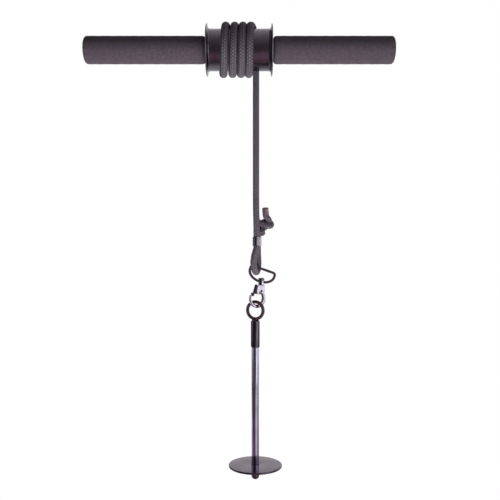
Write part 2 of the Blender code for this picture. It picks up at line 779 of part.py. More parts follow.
def make_gate(steel):
    # Web along the hook's open side, an arm that closes on the nose, and two cheeks on the rivet
    web_in = HOOK_LEFT_P - GATE_P - GAP
    web_out = web_in - 0.0018
    fall = -0.0030
    arm_out = BOWL_INNER_P - BOWL_INNER_R - GATE_P + 0.0007
    tip = -BOWL_DROP + BOWL_INNER_RISE + GATE_DROP
    top_in = web_in + GATE_LEAN * GATE_THUMB
    top_out = web_out + GATE_LEAN * GATE_THUMB
    web = [(top_in, GATE_THUMB), (web_in + GATE_LEAN * fall, fall - 0.0012),
           (arm_out + 0.0024, tip + 0.0024), (arm_out + 0.0022, tip - 0.0002),
           (arm_out + 0.0004, tip + 0.0002), (arm_out, tip + 0.0030), (arm_out - 0.0010, tip + 0.0048),
           (web_out + GATE_LEAN * fall - 0.0006, fall - 0.0006), (top_out, GATE_THUMB - 0.0008),
           (top_out + 0.0006, GATE_THUMB)]
    gate = publish("gate_lever", extruded("gate_lever", web, -GATE_T / 2, GATE_T / 2), steel, gate_pivot)
    add_bevel(gate, 0.0005, 1)
    cheek = arc((0, 0), GATE_EYE_R, 70, -80, 8)
    cheek += [(web_in - 0.0006 + GATE_LEAN * height, height) for height in (fall, -fall)]
    outer = GATE_SLOT / 2 - GAP
    for sign in (-1, 1):
        low, high = sorted((sign * outer, sign * (outer - GATE_CHEEK_T)))
        part = extruded("gate_cheek", cheek, low, high)
        cut(gate, publish("gate_cheek_cutter", part, steel, gate_pivot), 'UNION')
    cut(gate, rivet_hole(steel, gate_pivot, HOOK_T))


def make_gate_spring(steel):
    # Torsion spring on the rivet between the cheeks: one leg on the web, one in the hook's slot
    radius = RIVET_R + GAP + SPRING_WIRE_R + 0.0001
    width = 2 * (GATE_SLOT / 2 - GAP - GATE_CHEEK_T - GAP - SPRING_WIRE_R)
    start, turns = math.radians(270), SPRING_COILS + 0.25
    count = round(turns * SPRING_POINTS)
    points = []
    for step in range(count + 1):
        angle = start + 2 * math.pi * turns * step / count
        side = -width / 2 + width * step / count
        points.append(Vector((radius * math.cos(angle), side, radius * math.sin(angle))))
    leg = points[0] - Vector((GATE_P - HOOK_LEFT_P, 0, 0))
    points = [leg, leg.lerp(points[0], 0.5)] + points + [points[-1] + Vector((0, 0, radius))]
    spring = tube("gate_spring", points, SPRING_WIRE_R, 1)
    publish("gate_spring", spring, steel, gate_pivot)
    gap = least_gap(points, SPRING_WIRE_R, SPRING_POINTS // 2)
    print("gate_spring least gap to itself", round(gap * 1000, 2), "mm")


# Loading pin: welded eye on a socket, rod, weight plate and cap nut

def make_eye(black):
    wire = arc((EYE_R, 0), EYE_WIRE_R, 0, 360 - 360 / 12, 11)
    low = -(EYE_R - EYE_WIRE_R) - EYE_R - EYE_WIRE_R
    centre = low + EYE_R + EYE_WIRE_R
    upright = Matrix.Translation((0, 0, centre)) @ Matrix.Rotation(EYE_YAW, 4, 'Z')
    upright = upright @ Matrix.Rotation(math.pi / 2, 4, 'X')
    eye = publish("eye_ring", turned("eye_ring", wire, 36, upright), black, pin_hang)
    weld = [(0, low - GAP), (SOCKET_R - CHAMFER, low - GAP), (EYE_WIRE_R + 0.0012, low + 0.0012),
            (EYE_WIRE_R * 0.9, low + EYE_WIRE_R), (0, low + EYE_WIRE_R)]
    cut(eye, publish("eye_weld_cutter", turned("eye_weld", weld, 20), black, pin_hang), 'UNION')
    return low - 2 * GAP


def make_pin(top, chrome, black):
    socket_foot = top - SOCKET_LENGTH
    bore = STUD_R + GAP
    section = [(0, socket_foot + SOCKET_BORE_DEPTH), (bore, socket_foot + SOCKET_BORE_DEPTH),
               (bore, socket_foot), (SOCKET_R - CHAMFER, socket_foot), (SOCKET_R, socket_foot + CHAMFER),
               (SOCKET_R, top - CHAMFER), (SOCKET_R - CHAMFER, top), (0, top)]
    publish("eye_socket", turned("eye_socket", section, 24), chrome, pin_hang)
    rod_top = socket_foot - GAP
    rod_foot = rod_top - PIN_LENGTH
    section = [(0, rod_foot - STUD_DOWN), (STUD_R - CHAMFER, rod_foot - STUD_DOWN),
               (STUD_R, rod_foot - STUD_DOWN + CHAMFER), (STUD_R, rod_foot), (PIN_R, rod_foot),
               (PIN_R, rod_top), (STUD_R, rod_top), (STUD_R, rod_top + STUD_UP - CHAMFER),
               (STUD_R - CHAMFER, rod_top + STUD_UP), (0, rod_top + STUD_UP)]
    publish("pin_rod", turned("pin_rod", section, 24), chrome, pin_hang)
    floor = rod_foot - GAP
    plate_top = floor + SEAT_RECESS
    plate_foot = plate_top - PLATE_T
    edge = PLATE_T / 3
    section = [(bore, plate_foot)] + corner(PLATE_R - edge, plate_foot + edge, edge, -90, 0, 3)
    section += corner(PLATE_R - edge, plate_top - edge, edge, 0, 90, 3)
    section += [(PIN_R + GAP, plate_top), (PIN_R + GAP, floor), (bore, floor)]
    publish("base_plate", turned("base_plate", section, 56), black, pin_hang)
    cap_top = plate_foot - GAP
    section = [(0, cap_top - CAP_BORE_DEPTH), (bore, cap_top - CAP_BORE_DEPTH), (bore, cap_top),
               (CAP_R - CHAMFER, cap_top), (CAP_R, cap_top - CHAMFER)]
    section += corner(0, cap_top - CAP_LENGTH + CAP_R, CAP_R, 0, -90, 6)[:-1]
    section += [(0, cap_top - CAP_LENGTH)]
    publish("cap_nut", turned("cap_nut", section, 24), chrome, pin_hang)


def eye_clearance(spots, height):
    # Least distance from the bowl to the eye's wire, with the crown's centre line at this height
    cross = HOOK_YAW - EYE_YAW
    least = EYE_R
    for spot in spots:
        offset = spot - Vector((EYE_P, 0, height - EYE_R))
        along = offset.x * math.cos(cross) - offset.y * math.sin(cross)
        aside = offset.x * math.sin(cross) + offset.y * math.cos(cross)
        least = min(least, math.hypot(math.hypot(along, offset.z) - EYE_R, aside) - EYE_WIRE_R)
    return least


def eye_hang_point():
    # Lowest place of the eye's crown that leaves the usual gap to the bowl, found by halving
    spots = [spot for section in bowl_sections(4 * BOWL_STEPS)[0] for spot in bowl_ring(section, 36)]
    low = -BOWL_DROP + BOWL_INNER_RISE - BOWL_INNER_R
    high = low + 4 * EYE_WIRE_R
    for _ in range(16):
        middle = (low + high) / 2
        if eye_clearance(spots, middle) < GAP:
            low = middle
        else:
            high = middle
    return Vector((EYE_P, 0, high - EYE_WIRE_R))


# Assembly

clear_scene()
foam = make_material("foam", (0.035, 0.033, 0.038), 0.85, 0.0)
black_chrome = make_material("black_chrome", (0.24, 0.22, 0.26), 0.18, 1.0)
chrome = make_material("chrome", (0.62, 0.60, 0.66), 0.16, 1.0)
steel = make_material("steel", (0.46, 0.46, 0.48), 0.35, 1.0)
black_paint = make_material("black_paint", (0.03, 0.026, 0.03), 0.35, 0.0)
alloy = make_material("alloy", (0.55, 0.53, 0.58), 0.3, 1.0)
braid = make_material("braid", (0.16, 0.14, 0.16), 0.8, 0.0)
plastic = make_material("plastic", (0.02, 0.02, 0.022), 0.5, 0.0)

make_bar(steel)
for side, sign, turn in (("left", -1, TO_LEFT), ("right", 1, TO_RIGHT)):
    make_grip(side, turn, foam)
    make_end_plug(side, turn, plastic)
    make_flange(side, turn, black_chrome)
    make_hub(side, sign, turn, steel)
    make_hub_fasteners(side, sign, turn, steel)
make_drum_shell(black_chrome)
make_winding(braid)
make_rope_stop(steel)

rope_end = make_empty("rope_end", Matrix.Translation((FALL_X, HANG_Y, FALL_END_Z)))
make_fall(braid)
make_rope_end(braid)
make_knot(braid)
make_ferrule(alloy)

dee = make_empty("dee_hang", Matrix.Translation(dee_point(LOOP_U, 0)), rope_end)
make_dee(black_paint)
barrel_spot = dee_point(BARREL_U, dee_curve(BARREL_U))
barrel_hang = make_empty("barrel_hang", Matrix.Translation(barrel_spot), dee)
make_barrel(black_chrome)

hook_place = Matrix.Translation(barrel_spot) @ Matrix.Rotation(HOOK_YAW, 4, 'Z')
swivel = make_empty("swivel_turn", hook_place, barrel_hang)
make_hook(chrome)
make_rivet(steel)
gate_pivot = make_empty("gate_pivot", hook_place @ Matrix.Translation((GATE_P, 0, -GATE_DROP)), swivel)
make_gate(black_chrome)
make_gate_spring(steel)

hang_spot = hook_place @ eye_hang_point()
pin_hang = make_empty("pin_hang", Matrix.Translation(hang_spot), swivel)
socket_top = make_eye(black_paint)
make_pin(socket_top, black_chrome, black_chrome)
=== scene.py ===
# Wrist trainer: foam grips, rope drum, braided rope, wire dee, snap hook and loading pin
import math

import bmesh
import bpy
import numpy as np
from mathutils import Matrix, Vector


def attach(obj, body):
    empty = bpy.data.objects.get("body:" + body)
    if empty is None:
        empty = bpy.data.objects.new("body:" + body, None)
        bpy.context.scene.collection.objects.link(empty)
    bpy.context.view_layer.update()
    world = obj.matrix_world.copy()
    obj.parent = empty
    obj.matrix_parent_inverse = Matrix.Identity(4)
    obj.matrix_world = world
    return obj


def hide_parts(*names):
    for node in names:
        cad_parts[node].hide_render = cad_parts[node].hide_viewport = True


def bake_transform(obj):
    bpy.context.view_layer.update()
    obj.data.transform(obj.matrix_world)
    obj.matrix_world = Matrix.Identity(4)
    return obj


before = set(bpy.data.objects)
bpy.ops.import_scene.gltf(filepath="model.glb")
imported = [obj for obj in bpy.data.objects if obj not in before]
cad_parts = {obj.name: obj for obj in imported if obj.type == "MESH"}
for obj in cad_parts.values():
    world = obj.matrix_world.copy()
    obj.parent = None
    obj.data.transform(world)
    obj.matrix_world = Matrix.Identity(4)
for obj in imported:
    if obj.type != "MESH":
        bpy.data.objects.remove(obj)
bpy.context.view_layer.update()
scene = bpy.context.scene
print("frame loaded,", len(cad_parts), "solids")


# Camera, level with the middle of the object
cameraSet = {"place": (0.0154, -0.961, -0.291), "lens": 47.52, "sensor": 36.0}


def makeCamera(s):
    data = bpy.data.cameras.new("camera")
    data.lens = s["lens"]
    data.sensor_width = s["sensor"]
    camera = bpy.data.objects.new("camera", data)
    camera.location = s["place"]
    camera.rotation_euler = (math.radians(90), 0, 0)
    scene.collection.objects.link(camera)
    scene.camera = camera


makeCamera(cameraSet)


# Mesh helpers
toRight = Matrix.Rotation(math.pi / 2, 4, 'Y')
toLeft = Matrix.Rotation(-math.pi / 2, 4, 'Y')


def addObject(name, mesh):
    piece = bpy.data.objects.new(name, mesh)
    scene.collection.objects.link(piece)
    return piece


def shade(mesh, angle=32):
    mesh.shade_smooth()
    mesh.set_sharp_from_angle(angle=math.radians(angle))
    return mesh


def outward(bm, mesh):
    # Writes a closed shape to its mesh, normals out
    bmesh.ops.recalc_face_normals(bm, faces=bm.faces)
    bm.to_mesh(mesh)
    bm.free()
    return mesh


def ringMesh(name, rings, wrap=False):
    # rings: (count, sides, 3) points, joined into a tube with closed ends, or all round
    count, sides = rings.shape[:2]
    index = np.arange(count * sides).reshape(count, sides)
    after = np.roll(index, -1, 1)
    quads = np.stack([index, after, np.roll(after, -1, 0), np.roll(index, -1, 0)], -1)
    faces = (quads if wrap else quads[:-1]).reshape(-1, 4).tolist()
    points = rings.reshape(-1, 3).tolist()
    for end, order in () if wrap else ((0, -1), (-1, 1)):
        points.append(rings[end].mean(0).tolist())
        faces += [[len(points) - 1, *pair[::order]] for pair in zip(index[end].tolist(), after[end].tolist())]
    mesh = bpy.data.meshes.new(name)
    mesh.from_pydata(points, [], faces)
    bm = bmesh.new()
    bm.from_mesh(mesh)
    return outward(bm, mesh)


def rounded(profile, size, steps=4, closed=False):
    # Rounds the corners of a (radius, height) line, but not its ends on the axis
    soft = []
    count = len(profile)
    for number, point in enumerate(profile):
        here = Vector(point)
        if not closed and number in (0, count - 1):
            soft.append(tuple(here))
            continue
        before = Vector(profile[number - 1]) - here
        after = Vector(profile[(number + 1) % count]) - here
        reach = min(size, before.length * 0.45, after.length * 0.45)
        if reach < 1e-6 or before.angle(after) > math.radians(170):
            soft.append(tuple(here))
            continue
        a = here + before.normalized() * reach
        b = here + after.normalized() * reach
        for step in range(steps + 1):
            t = step / steps
            soft.append(tuple(a * (1 - t) ** 2 + here * 2 * t * (1 - t) + b * t * t))
    return soft


def turnedMesh(name, profile, sides, place=Matrix(), closed=False):
    # A section turned about local Z: closed for a ring or tube, else it starts and ends on the axis
    bm = bmesh.new()
    rings = []
    for radius, height in profile:
        if radius < 1e-7:
            rings.append([bm.verts.new(place @ Vector((0, 0, height)))])
            continue
        ring = []
        for side in range(sides):
            angle = 2 * math.pi * side / sides
            ring.append(bm.verts.new(place @ Vector((radius * math.cos(angle), radius * math.sin(angle), height))))
        rings.append(ring)
    pairs = list(zip(rings, rings[1:]))
    if closed:
        pairs.append((rings[-1], rings[0]))
    for one, two in pairs:
        if len(one) == 1 and len(two) == 1:
            continue
        for side in range(sides):
            after = (side + 1) % sides
            corners = [one[side % len(one)], one[after % len(one)]]
            corners += [two[after % len(two)], two[side % len(two)]]
            bm.faces.new(list(dict.fromkeys(corners)))
    return outward(bm, bpy.data.meshes.new(name))


def rodMesh(name, radius, low, high, sides=40, place=Matrix()):
    return turnedMesh(name, [(0, low), (radius, low), (radius, high), (0, high)], sides, place)


def flatMesh(name, outline, low, high):
    # A flat outline in local XZ, thick along Y from low to high
    bm = bmesh.new()
    face = bm.faces.new([bm.verts.new((x, low, z)) for x, z in outline])
    grown = bmesh.ops.extrude_face_region(bm, geom=[face])
    verts = [item for item in grown["geom"] if isinstance(item, bmesh.types.BMVert)]
    bmesh.ops.translate(bm, verts=verts, vec=(0, high - low, 0))
    return outward(bm, bpy.data.meshes.new(name))


def roundAngles(sides):
    return np.linspace(0, 2 * np.pi, sides, endpoint=False)


def arc(centre, radius, start, end, steps):
    spots = []
    for step in range(steps + 1):
        angle = math.radians(start + (end - start) * step / steps)
        spots.append((centre[0] + radius * math.cos(angle), centre[1] + radius * math.sin(angle)))
    return spots


def combine(piece, mesh, operation):
    # Cuts or joins with another closed shape
    tool = addObject("shapingTool", mesh)
    step = piece.modifiers.new(operation.title(), 'BOOLEAN')
    step.object = tool
    step.operation = operation
    step.solver = 'EXACT'
    return tool


def bake(piece, tools=()):
    # Turns a piece's modifiers into a plain mesh and clears its tools away
    depsgraph = bpy.context.evaluated_depsgraph_get()
    depsgraph.update()
    made = bpy.data.meshes.new_from_object(piece.evaluated_get(depsgraph))
    piece.modifiers.clear()
    piece.data = made
    for tool in tools:
        bpy.data.objects.remove(tool)
    return piece


def bevelEdges(piece, width, segments):
    bevel = piece.modifiers.new("Edges", 'BEVEL')
    bevel.width = width
    bevel.segments = segments


def soften(piece, tools, voxel, passes):
    # Melts joined shapes into one casting with soft edges
    melt = piece.modifiers.new("Melt", 'REMESH')
    melt.mode = 'VOXEL'
    melt.voxel_size = voxel
    melt.use_smooth_shade = True
    ease = piece.modifiers.new("Ease", 'SMOOTH')
    ease.factor = 0.5
    ease.iterations = passes
    bake(piece, tools)


def setDown(piece, place):
    piece.data.transform(place)
    piece.data.shade_smooth()


def cutAway(piece, *meshes):
    bake(piece, [combine(piece, mesh, 'DIFFERENCE') for mesh in meshes])
    shade(piece.data)


def paint(piece, finish):
    piece.data.materials.clear()
    piece.data.materials.append(finishes[finish])


def dress(piece, body, finish, nodes=()):
    paint(piece, finish)
    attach(piece, body)
    if nodes:
        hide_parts(*nodes)
    return piece


def shadedPiece(name, mesh, body, finish, nodes=(), angle=32):
    return dress(addObject(name, shade(mesh, angle)), body, finish, nodes)


def vertexSpots(mesh):
    spots = np.zeros(len(mesh.vertices) * 3)
    mesh.vertices.foreach_get("co", spots)
    return spots.reshape(-1, 3)


def markMesh(mesh, label, values):
    # One value for each vertex, for the shader; those left out stay at 0
    data = np.zeros(len(mesh.vertices), np.float32)
    data[:len(values)] = values
    mesh.attributes.new(label, 'FLOAT', 'POINT').data.foreach_set("value", data)


def lengthsAlong(line):
    return np.r_[0, np.cumsum(np.linalg.norm(np.diff(line, axis=0), axis=1))]


def smoothStep(share):
    return share * share * (3 - 2 * share)


# Node helpers, for shapes and for materials
def feed(tree, node, inputs):
    # Links sockets and sets plain values
    for key, value in inputs.items():
        if isinstance(value, bpy.types.NodeSocket):
            tree.links.new(value, node.inputs[key])
        else:
            node.inputs[key].default_value = value


def addNode(tree, kind, inputs=None, **settings):
    node = tree.nodes.new(kind)
    for key, value in settings.items():
        setattr(node, key, value)
    feed(tree, node, inputs or {})
    return node


def newTree(name, inputs):
    tree = bpy.data.node_groups.new(name, 'GeometryNodeTree')
    tree.interface.new_socket("Geometry", in_out='INPUT', socket_type='NodeSocketGeometry')
    for label, kind in inputs.items():
        tree.interface.new_socket(label, in_out='INPUT', socket_type='NodeSocket' + kind)
    tree.interface.new_socket("Material", in_out='INPUT', socket_type='NodeSocketMaterial')
    tree.interface.new_socket("Geometry", in_out='OUTPUT', socket_type='NodeSocketGeometry')
    return tree, addNode(tree, 'NodeGroupInput').outputs


def finishTree(tree, shape, given):
    # Every tree ends in Realize Instances and Set Material
    real = addNode(tree, 'GeometryNodeRealizeInstances', {"Geometry": shape}).outputs["Geometry"]
    inputs = {"Geometry": real, "Material": given["Material"]}
    painted = addNode(tree, 'GeometryNodeSetMaterial', inputs).outputs["Geometry"]
    addNode(tree, 'NodeGroupOutput', {"Geometry": painted})
    return tree


def runTree(piece, tree, values):
    shape = piece.modifiers.new("Shape", 'NODES')
    shape.node_group = tree
    for item in tree.interface.items_tree:
        if item.in_out == 'INPUT' and item.name in values:
            shape[item.identifier] = values[item.name]
    return bake(piece)


def makeWireTree():
    # Sweeps a round wire along a line of edges
    tree, given = newTree("wireAlongLine", {"Wire Radius": 'Float', "Sides": 'Int'})
    line = addNode(tree, 'GeometryNodeMeshToCurve', {"Mesh": given["Geometry"]}).outputs["Curve"]
    inputs = {"Resolution": given["Sides"], "Radius": given["Wire Radius"]}
    section = addNode(tree, 'GeometryNodeCurvePrimitiveCircle', inputs).outputs["Curve"]
    inputs = {"Curve": line, "Profile Curve": section, "Fill Caps": True}
    return finishTree(tree, addNode(tree, 'GeometryNodeCurveToMesh', inputs).outputs["Mesh"], given)


def makeRoundTree():
    # Sets copies of one shape evenly round a circle
    tree, given = newTree("copiesRoundCircle", {"Count": 'Int', "Circle Radius": 'Float', "Shape": 'Object'})
    inputs = {"Vertices": given["Count"], "Radius": given["Circle Radius"]}
    circle = addNode(tree, 'GeometryNodeMeshCircle', inputs).outputs["Mesh"]
    inputs = {"Object": given["Shape"], "As Instance": True}
    shape = addNode(tree, 'GeometryNodeObjectInfo', inputs).outputs["Geometry"]
    copies = addNode(tree, 'GeometryNodeInstanceOnPoints', {"Points": circle, "Instance": shape})
    return finishTree(tree, copies.outputs["Instances"], given)


wireTree = makeWireTree()
roundTree = makeRoundTree()


# Materials
def newMaterial(name):
    material = bpy.data.materials.new(name)
    material.use_nodes = True
    return material, material.node_tree, material.node_tree.nodes["Principled BSDF"]


def objectPlace(tree, scale=(1, 1, 1)):
    spot = addNode(tree, 'ShaderNodeTexCoord').outputs["Object"]
    return addNode(tree, 'ShaderNodeMapping', {"Vector": spot, "Scale": scale}).outputs["Vector"]


def noise(tree, place, scale, detail, rough=0.5):
    inputs = {"Vector": place, "Scale": scale, "Detail": detail, "Roughness": rough}
    return addNode(tree, 'ShaderNodeTexNoise', inputs).outputs["Fac"]


def meshMark(tree, name):
    return addNode(tree, 'ShaderNodeAttribute', attribute_name=name).outputs["Fac"]


def reckon(tree, operation, *values):
    return addNode(tree, 'ShaderNodeMath', dict(enumerate(values)), operation=operation).outputs["Value"]


def remap(tree, value, start, end, low=0.0, high=1.0):
    inputs = {"Value": value, "From Min": start, "From Max": end, "To Min": low, "To Max": high}
    return addNode(tree, 'ShaderNodeMapRange', inputs).outputs["Result"]


def between(tree, value, low, high):
    # Spreads a noise, which seldom leaves 0.3 to 0.7
    return remap(tree, value, 0.3, 0.7, low, high)


def ramp(tree, value, stops):
    node = addNode(tree, 'ShaderNodeValToRGB', {"Fac": value})
    elements = node.color_ramp.elements
    elements.remove(elements[1])
    elements[0].position, elements[0].color = stops[0][0], (*stops[0][1], 1)
    for spot, colour in stops[1:]:
        elements.new(spot).color = (*colour, 1)
    return node.outputs["Color"]


def colourMix(tree, share, one, two, blend='MIX'):
    # Either colour is a socket or three numbers
    one, two = (value if isinstance(value, bpy.types.NodeSocket) else (*value, 1) for value in (one, two))
    inputs = {0: share, 6: one, 7: two}
    return addNode(tree, 'ShaderNodeMix', inputs, data_type='RGBA', blend_type=blend).outputs[2]


def bumpOf(tree, height, strength, distance):
    inputs = {"Height": height, "Strength": strength, "Distance": distance}
    return addNode(tree, 'ShaderNodeBump', inputs).outputs["Normal"]


def makeMetal(name, s):
    # Plated or painted metal: uneven polish, faint drawing lines, fine pits, and painted shade where the mesh marks it
    material, tree, shader = newMaterial(name)
    lines = noise(tree, objectPlace(tree, s["lines"]), 1.0, 3.0)
    cloud = noise(tree, objectPlace(tree), s["cloud"], 4.0)
    pits = noise(tree, objectPlace(tree), s["pits"], 2.0)
    colour = ramp(tree, cloud, ((0.3, s["dark"]), (0.7, s["light"])))
    if "shadeTone" in s:  # painted shade, marked on the mesh
        colour = colourMix(tree, meshMark(tree, "paintedShade"), colour, s["shadeTone"])
    polish = reckon(tree, 'MULTIPLY', reckon(tree, 'ADD', lines, cloud), 0.5)
    feed(tree, shader, {"Base Color": colour, "Roughness": between(tree, polish, *s["rough"]),
                        "Normal": bumpOf(tree, reckon(tree, 'ADD', lines, pits), s["bump"], 0.0001),
                        "Metallic": s.get("metallic", 1.0)})
    return material


def makeFoam(name, s):
    # Closed-cell foam: mottled skin with pores
    material, tree, shader = newMaterial(name)
    spot = objectPlace(tree)
    mottle = noise(tree, spot, s["mottle"], 6.0, 0.7)
    grain = noise(tree, spot, s["grain"], 3.0, 0.6)
    cells = addNode(tree, 'ShaderNodeTexVoronoi', {"Vector": spot, "Scale": s["cells"]}).outputs["Distance"]
    tone = reckon(tree, 'MULTIPLY', reckon(tree, 'ADD', mottle, grain), 0.5)
    height = reckon(tree, 'ADD', between(tree, cells, 0.0, 1.0), grain)
    feed(tree, shader, {"Base Color": ramp(tree, tone, ((0.38, s["dark"]), (0.62, s["light"]))),
                        "Normal": bumpOf(tree, height, s["bump"], 0.0003),
                        "Roughness": between(tree, grain, *s["rough"]), "Sheen Weight": s["sheen"],
                        "Sheen Roughness": 0.5, "Specular IOR Level": s["specular"]})
    return material


def makeBraid(name, s):
    # Braided sheath: the mesh carries each strand's tone and lie and painted shade in the gaps, the shader adds its
    # filaments
    material, tree, shader = newMaterial(name)
    uv = addNode(tree, 'ShaderNodeUVMap', uv_map="alongRope").outputs["UV"]
    waves = []
    for turn in (s["lean"], -s["lean"]):
        spot = addNode(tree, 'ShaderNodeMapping', {"Vector": uv, "Rotation": (0, 0, math.radians(turn))})
        inputs = {"Vector": spot.outputs["Vector"], "Scale": s["filaments"], "Distortion": 1.5, "Detail": 2.0,
                  "Detail Scale": 2.0}
        waves.append(addNode(tree, 'ShaderNodeTexWave', inputs).outputs["Fac"])
    inputs = {0: meshMark(tree, "strandLie"), 2: waves[0], 3: waves[1]}
    filaments = addNode(tree, 'ShaderNodeMix', inputs, data_type='FLOAT').outputs[0]
    colour = ramp(tree, meshMark(tree, "strandTone"), ((0.0, s["dark"]), (1.0, s["light"])))
    shaded = ramp(tree, filaments, ((0.1, s["shadow"]), (0.9, s["light"])))
    colour = colourMix(tree, s["lined"], colour, shaded, 'MULTIPLY')
    # Painted shade in the gaps between strands and where turns touch
    colour = colourMix(tree, meshMark(tree, "strandShade"), colour, s["shadow"])
    for label, yarn in s["flecks"].items():
        colour = colourMix(tree, meshMark(tree, label), colour, yarn)
    height = reckon(tree, 'ADD', filaments, noise(tree, objectPlace(tree), s["fuzz"], 3.0))
    feed(tree, shader, {"Base Color": colour, "Normal": bumpOf(tree, height, s["bump"], 0.0001),
                        "Roughness": between(tree, filaments, *s["rough"]), "Sheen Weight": s["sheen"]})
    return material


foamSet = {"dark": (0.066, 0.053, 0.065), "light": (0.122, 0.098, 0.121), "mottle": 260, "grain": 1400,
           "cells": 900, "bump": 0.55, "rough": (0.72, 0.92), "sheen": 0.12, "specular": 0.35}
braidSet = {"flecks": {"warmFleck": (0.80, 0.30, 0.12), "coolFleck": (0.14, 0.18, 0.34)},
            "dark": (0.085, 0.073, 0.090), "light": (0.36, 0.32, 0.39), "shadow": (0.018, 0.015, 0.019),
            "lean": 45, "filaments": 2.2, "lined": 0.35, "fuzz": 1500, "bump": 0.35, "rough": (0.55, 0.8),
            "sheen": 0.15}
metalSets = {
    "drumChrome": {"dark": (0.088, 0.078, 0.092), "light": (0.125, 0.112, 0.132), "rough": (0.12, 0.22),
                   "bump": 0.05, "lines": (2500, 60, 60), "cloud": 45, "pits": 900},
    "pinChrome": {"dark": (0.36, 0.355, 0.45), "light": (0.46, 0.455, 0.57), "rough": (0.08, 0.17),
                  "bump": 0.04, "lines": (900, 900, 25), "cloud": 60, "pits": 900},
    "socketChrome": {"dark": (0.075, 0.069, 0.085), "light": (0.110, 0.100, 0.122), "rough": (0.10, 0.20),
                     "bump": 0.04, "lines": (900, 900, 25), "cloud": 60, "pits": 900},
    "flangeChrome": {"dark": (0.16, 0.135, 0.165), "light": (0.23, 0.20, 0.24), "rough": (0.10, 0.18),
                     "bump": 0.05, "lines": (60, 60, 60), "cloud": 45, "pits": 900},
    "plateChrome": {"dark": (0.064, 0.047, 0.073), "light": (0.102, 0.080, 0.116), "rough": (0.05, 0.12),
                    "bump": 0.04, "lines": (260, 260, 260), "cloud": 70, "pits": 1500},
    "hookChrome": {"dark": (0.42, 0.385, 0.455), "light": (0.53, 0.49, 0.57), "shadeTone": (0.060, 0.045, 0.060),
                   "rough": (0.08, 0.18), "bump": 0.10, "lines": (220, 220, 220), "cloud": 90, "pits": 700},
    "gateSteel": {"dark": (0.034, 0.023, 0.033), "light": (0.068, 0.050, 0.066), "rough": (0.16, 0.28),
                  "bump": 0.08, "lines": (1200, 1200, 90), "cloud": 120, "pits": 1200},
    "ferruleAlloy": {"dark": (0.29, 0.275, 0.335), "light": (0.42, 0.40, 0.48), "shadeTone": (0.095, 0.090, 0.115),
                     "rough": (0.22, 0.36), "bump": 0.12, "lines": (1500, 1500, 60), "cloud": 160, "pits": 1400},
    "wirePaint": {"dark": (0.021, 0.010, 0.016), "light": (0.038, 0.021, 0.031), "rough": (0.28, 0.42),
                  "bump": 0.10, "lines": (500, 500, 500), "cloud": 140, "pits": 1600, "metallic": 0.0},
    "barrelChrome": {"dark": (0.56, 0.52, 0.58), "light": (0.70, 0.66, 0.72), "shadeTone": (0.055, 0.042, 0.052),
                     "rough": (0.05, 0.12), "bump": 0.06, "lines": (60, 60, 1800), "cloud": 120, "pits": 1100},
    "tubeSteel": {"dark": (0.34, 0.33, 0.36), "light": (0.46, 0.45, 0.48), "rough": (0.24, 0.40),
                  "bump": 0.10, "lines": (40, 1400, 1400), "cloud": 80, "pits": 1000},
    "plugPlastic": {"dark": (0.012, 0.012, 0.013), "light": (0.024, 0.023, 0.026), "rough": (0.42, 0.58),
                    "bump": 0.25, "lines": (1100, 1100, 1100), "cloud": 200, "pits": 2200, "metallic": 0.0},
}
finishes = {name: makeMetal(name, s) for name, s in metalSets.items()}
finishes["gripFoam"] = makeFoam("gripFoam", foamSet)
finishes["ropeBraid"] = makeBraid("ropeBraid", braidSet)
print("materials made")


# Rope: wound on the drum, down to the sleeve, round the dee, up to a stopper knot
ropeSet = {
    "radius": 0.0048, "startX": -0.0229, "pitch": 0.01385, "closing": 0.00053, "lean": 0.00135, "turnRadius": 0.0345,
    "hangY": 0.0339, "fallX": 0.0245, "liftOff": 3.75, "lifting": 0.37, "entryTurn": -0.22, "entryBend": 0.0190,
    "fallStart": -0.0099, "fallEnd": -0.200, "perTurn": 120, "fallRows": 60, "approachRows": 40, "stubRows": 14,
    "step": 0.00063, "strands": 10, "advance": 0.0205, "relief": 0.00044, "middle": 0.62, "sides": 64,
    "crown": (2.4, 0.75, 3.0), "gapShadeDepth": 1.7, "cutRound": 0.0016, "cutReach": 0.0020,
    "widen": 0.16, "widenOver": 0.05, "widenTo": 0.012, "widenOff": 0.03, "contact": (0.58, 0.3),
    "tones": (0.02, 0.10, 0.00, 0.12, 0.04, 0.02, 0.10, 0.00, 0.08, 0.04,
              0.92, 0.24, 0.84, 0.28, 0.96, 0.22, 0.86, 0.26, 0.90, 0.30),
    "flecks": ((0.0415, -0.2312, 0.0016, 0.0009, "warmFleck"), (0.0411, -0.2338, 0.0013, 0.0007, "coolFleck"),
               (0.0414, -0.2362, 0.0008, 0.0006, "warmFleck")),
    "sleeve": (0.0262, -0.2712, 0.0137, 10.0), "knot": (0.0412, 0.0395, -0.2527), "knotExit": (-0.0016, 0.0, 0.0085),
    "stubTop": (0.0385, 0.0365, -0.2268), "hang": (0.024854, 0.0339, -0.316395), "reach": 0.0079,
}
# The loose knot's form, and how it is drawn tight
knotSet = {"radius": 0.0038, "swell": 0.0002, "tightFrom": 0.0134, "tightOver": 0.004, "after": 0.25,
           "half": 2.05, "points": 150, "scale": (0.0021, 0.0021, 0.0010), "step": 0.0009, "passes": 420,
           "renew": 6, "own": 2.6, "pull": 0.30, "clear": 0.0048, "mostLean": 0.5,
           "aside": 0.3, "push": 0.32, "most": 0.0006, "joinWidth": 2.5, "joinPasses": 14}


def turnPoint(turn, s=ropeSet):
    angle = 2 * math.pi * turn
    along = s["startX"] + s["pitch"] * turn - s["closing"] * turn * turn - s["lean"] * (1 - math.cos(angle))
    late = min(1.0, max(0.0, (turn - s["liftOff"] + s["lifting"]) / s["lifting"]))
    along += (s["fallX"] - along) * smoothStep(late)
    return Vector((along, -s["turnRadius"] * math.sin(angle), -s["turnRadius"] * math.cos(angle)))


